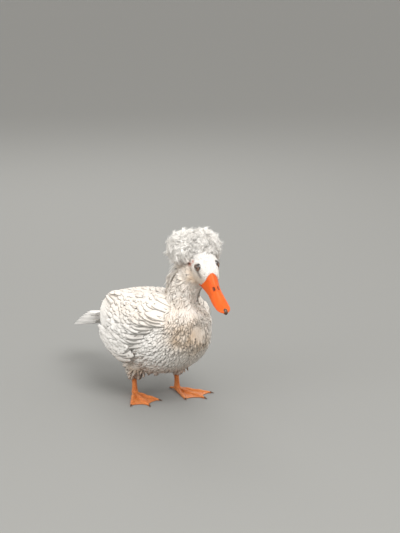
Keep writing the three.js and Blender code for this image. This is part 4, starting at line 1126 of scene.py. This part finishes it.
for side, word in ((1, "left"), (-1, "right")):
    foot_x, foot_y = leg_x + stride[side], side * leg_y
    heel = np.array([foot_x - 8.0, foot_y, 0])
    grids = []
    t = np.linspace(0, 1, 40)[:, None]
    angle = np.linspace(0, 2 * pi, 32, endpoint=False)[None]
    radius = 4.6 - 0.5 * np.sin(pi * t) + 1.5 * (1 - t) ** 6 + 6.8 * np.maximum(t - 0.75, 0) * t
    shank = np.array([foot_x - 6.0, foot_y, 5]) * (1 - t) + np.array([foot_x - 9.0, foot_y, 41]) * t
    grids.append(shank[:, None] + np.stack(np.broadcast_arrays(1.12 * radius * np.cos(angle), 0.9 * radius * np.sin(angle), 0 * angle), -1))
    ends = []
    for toe_turn, toe_length, toe_radius in toes:
        a = side * radians(toe_turn + foot_turn)
        way = np.array([cos(a), sin(a), 0])
        ends.append((heel + 0.93 * toe_length * way, heel + 1.0 * toe_length * way, way))
        grids.append(finger(heel + (0, 0, 3.2), heel + 1.0 * toe_length * way + (0, 0, 1.3), toe_radius, 3))
    hind_end = heel + np.array([-13.0, -side * 4.4, 2.2])
    grids.append(finger(heel + np.array([2, 0, 4]), hind_end, 2.8, 1))
    # The web is a fan of lines from the heel to an edge that hangs inwards between the toes' ends.
    edge = []
    for (a, _, _), (b, _, _) in zip(ends[:-1], ends[1:]):
        m = (a + b) / 2 * 0.84 + heel * 0.16
        t = np.linspace(0, 1, 14)[:, None]
        edge.append((1 - t) ** 2 * a + 2 * t * (1 - t) * m + t**2 * b)
    edge = np.concatenate(edge)
    shares = np.linspace(0.04, 1, 30)[:, None, None]
    sheet = heel + (edge - heel) * shares
    top = sheet + np.array([0, 0, web_thick])
    under = sheet + np.array([0, 0, 0.15])
    grids.append(np.concatenate([top, under[:, ::-1]], 1))
    parts, faces, count = [], [], 0
    for grid in grids:
        points, triangles = closed_grid(grid)
        faces.append(facing_out(points, triangles) + count)
        parts.append(points)
        count += len(points)
    leg = mesh_from(f"leg_{word}", in_frame(np.concatenate(parts)), np.concatenate(faces))
    remesh = leg.modifiers.new("one_skin", "REMESH")
    remesh.mode = "VOXEL"
    remesh.voxel_size = 0.0007
    ease = leg.modifiers.new("ease", "SMOOTH")
    ease.factor = 0.5
    ease.iterations = 4
    bpy.context.view_layer.objects.active = leg
    for modifier in ("one_skin", "ease"):
        bpy.ops.object.modifier_apply(modifier=modifier)
    flat = np.zeros(3 * len(leg.data.vertices), np.float32)
    leg.data.vertices.foreach_get("co", flat)
    flat = flat.reshape(-1, 3)
    flat[:, 2] = np.maximum(flat[:, 2], 0)
    leg.data.vertices.foreach_set("co", flat.ravel())
    leg.data.shade_smooth()
    leg.data.materials.append(leg_paint.material)
    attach(leg, "root")
    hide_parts(f"shank_{word}", f"foot_{word}")
    parts, faces, count = [], [], 0
    tips = [(end, way, 6.5) for _, end, way in ends] + [(hind_end, unit(hind_end - heel), 4.0)]
    for end, way, long in tips:
        t = np.linspace(0, 1, 14)[:, None]
        angle = np.linspace(0, 2 * pi, 14, endpoint=False)[None]
        size = 1.5 * (1 - 0.93 * t) ** 0.7
        across = np.array([way[1], -way[0], 0])
        middle = end * (1, 1, 0) + way * long * (t - 0.35) + np.array([0, 0, 1]) * (1.9 - 1.2 * t**2)
        grid = middle[:, None] + across * (size * np.cos(angle))[..., None] + np.array([0, 0, 1.0]) * (size * np.sin(angle))[..., None]
        grid[..., 2] = np.maximum(grid[..., 2], 0.02)
        points, triangles = closed_grid(grid)
        faces.append(facing_out(points, triangles) + count)
        parts.append(points)
        count += len(points)
    claws = mesh_from(f"claws_{word}", in_frame(np.concatenate(parts)), np.concatenate(faces))
    claws.data.materials.append(horn_paint.material)
    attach(claws, "root")
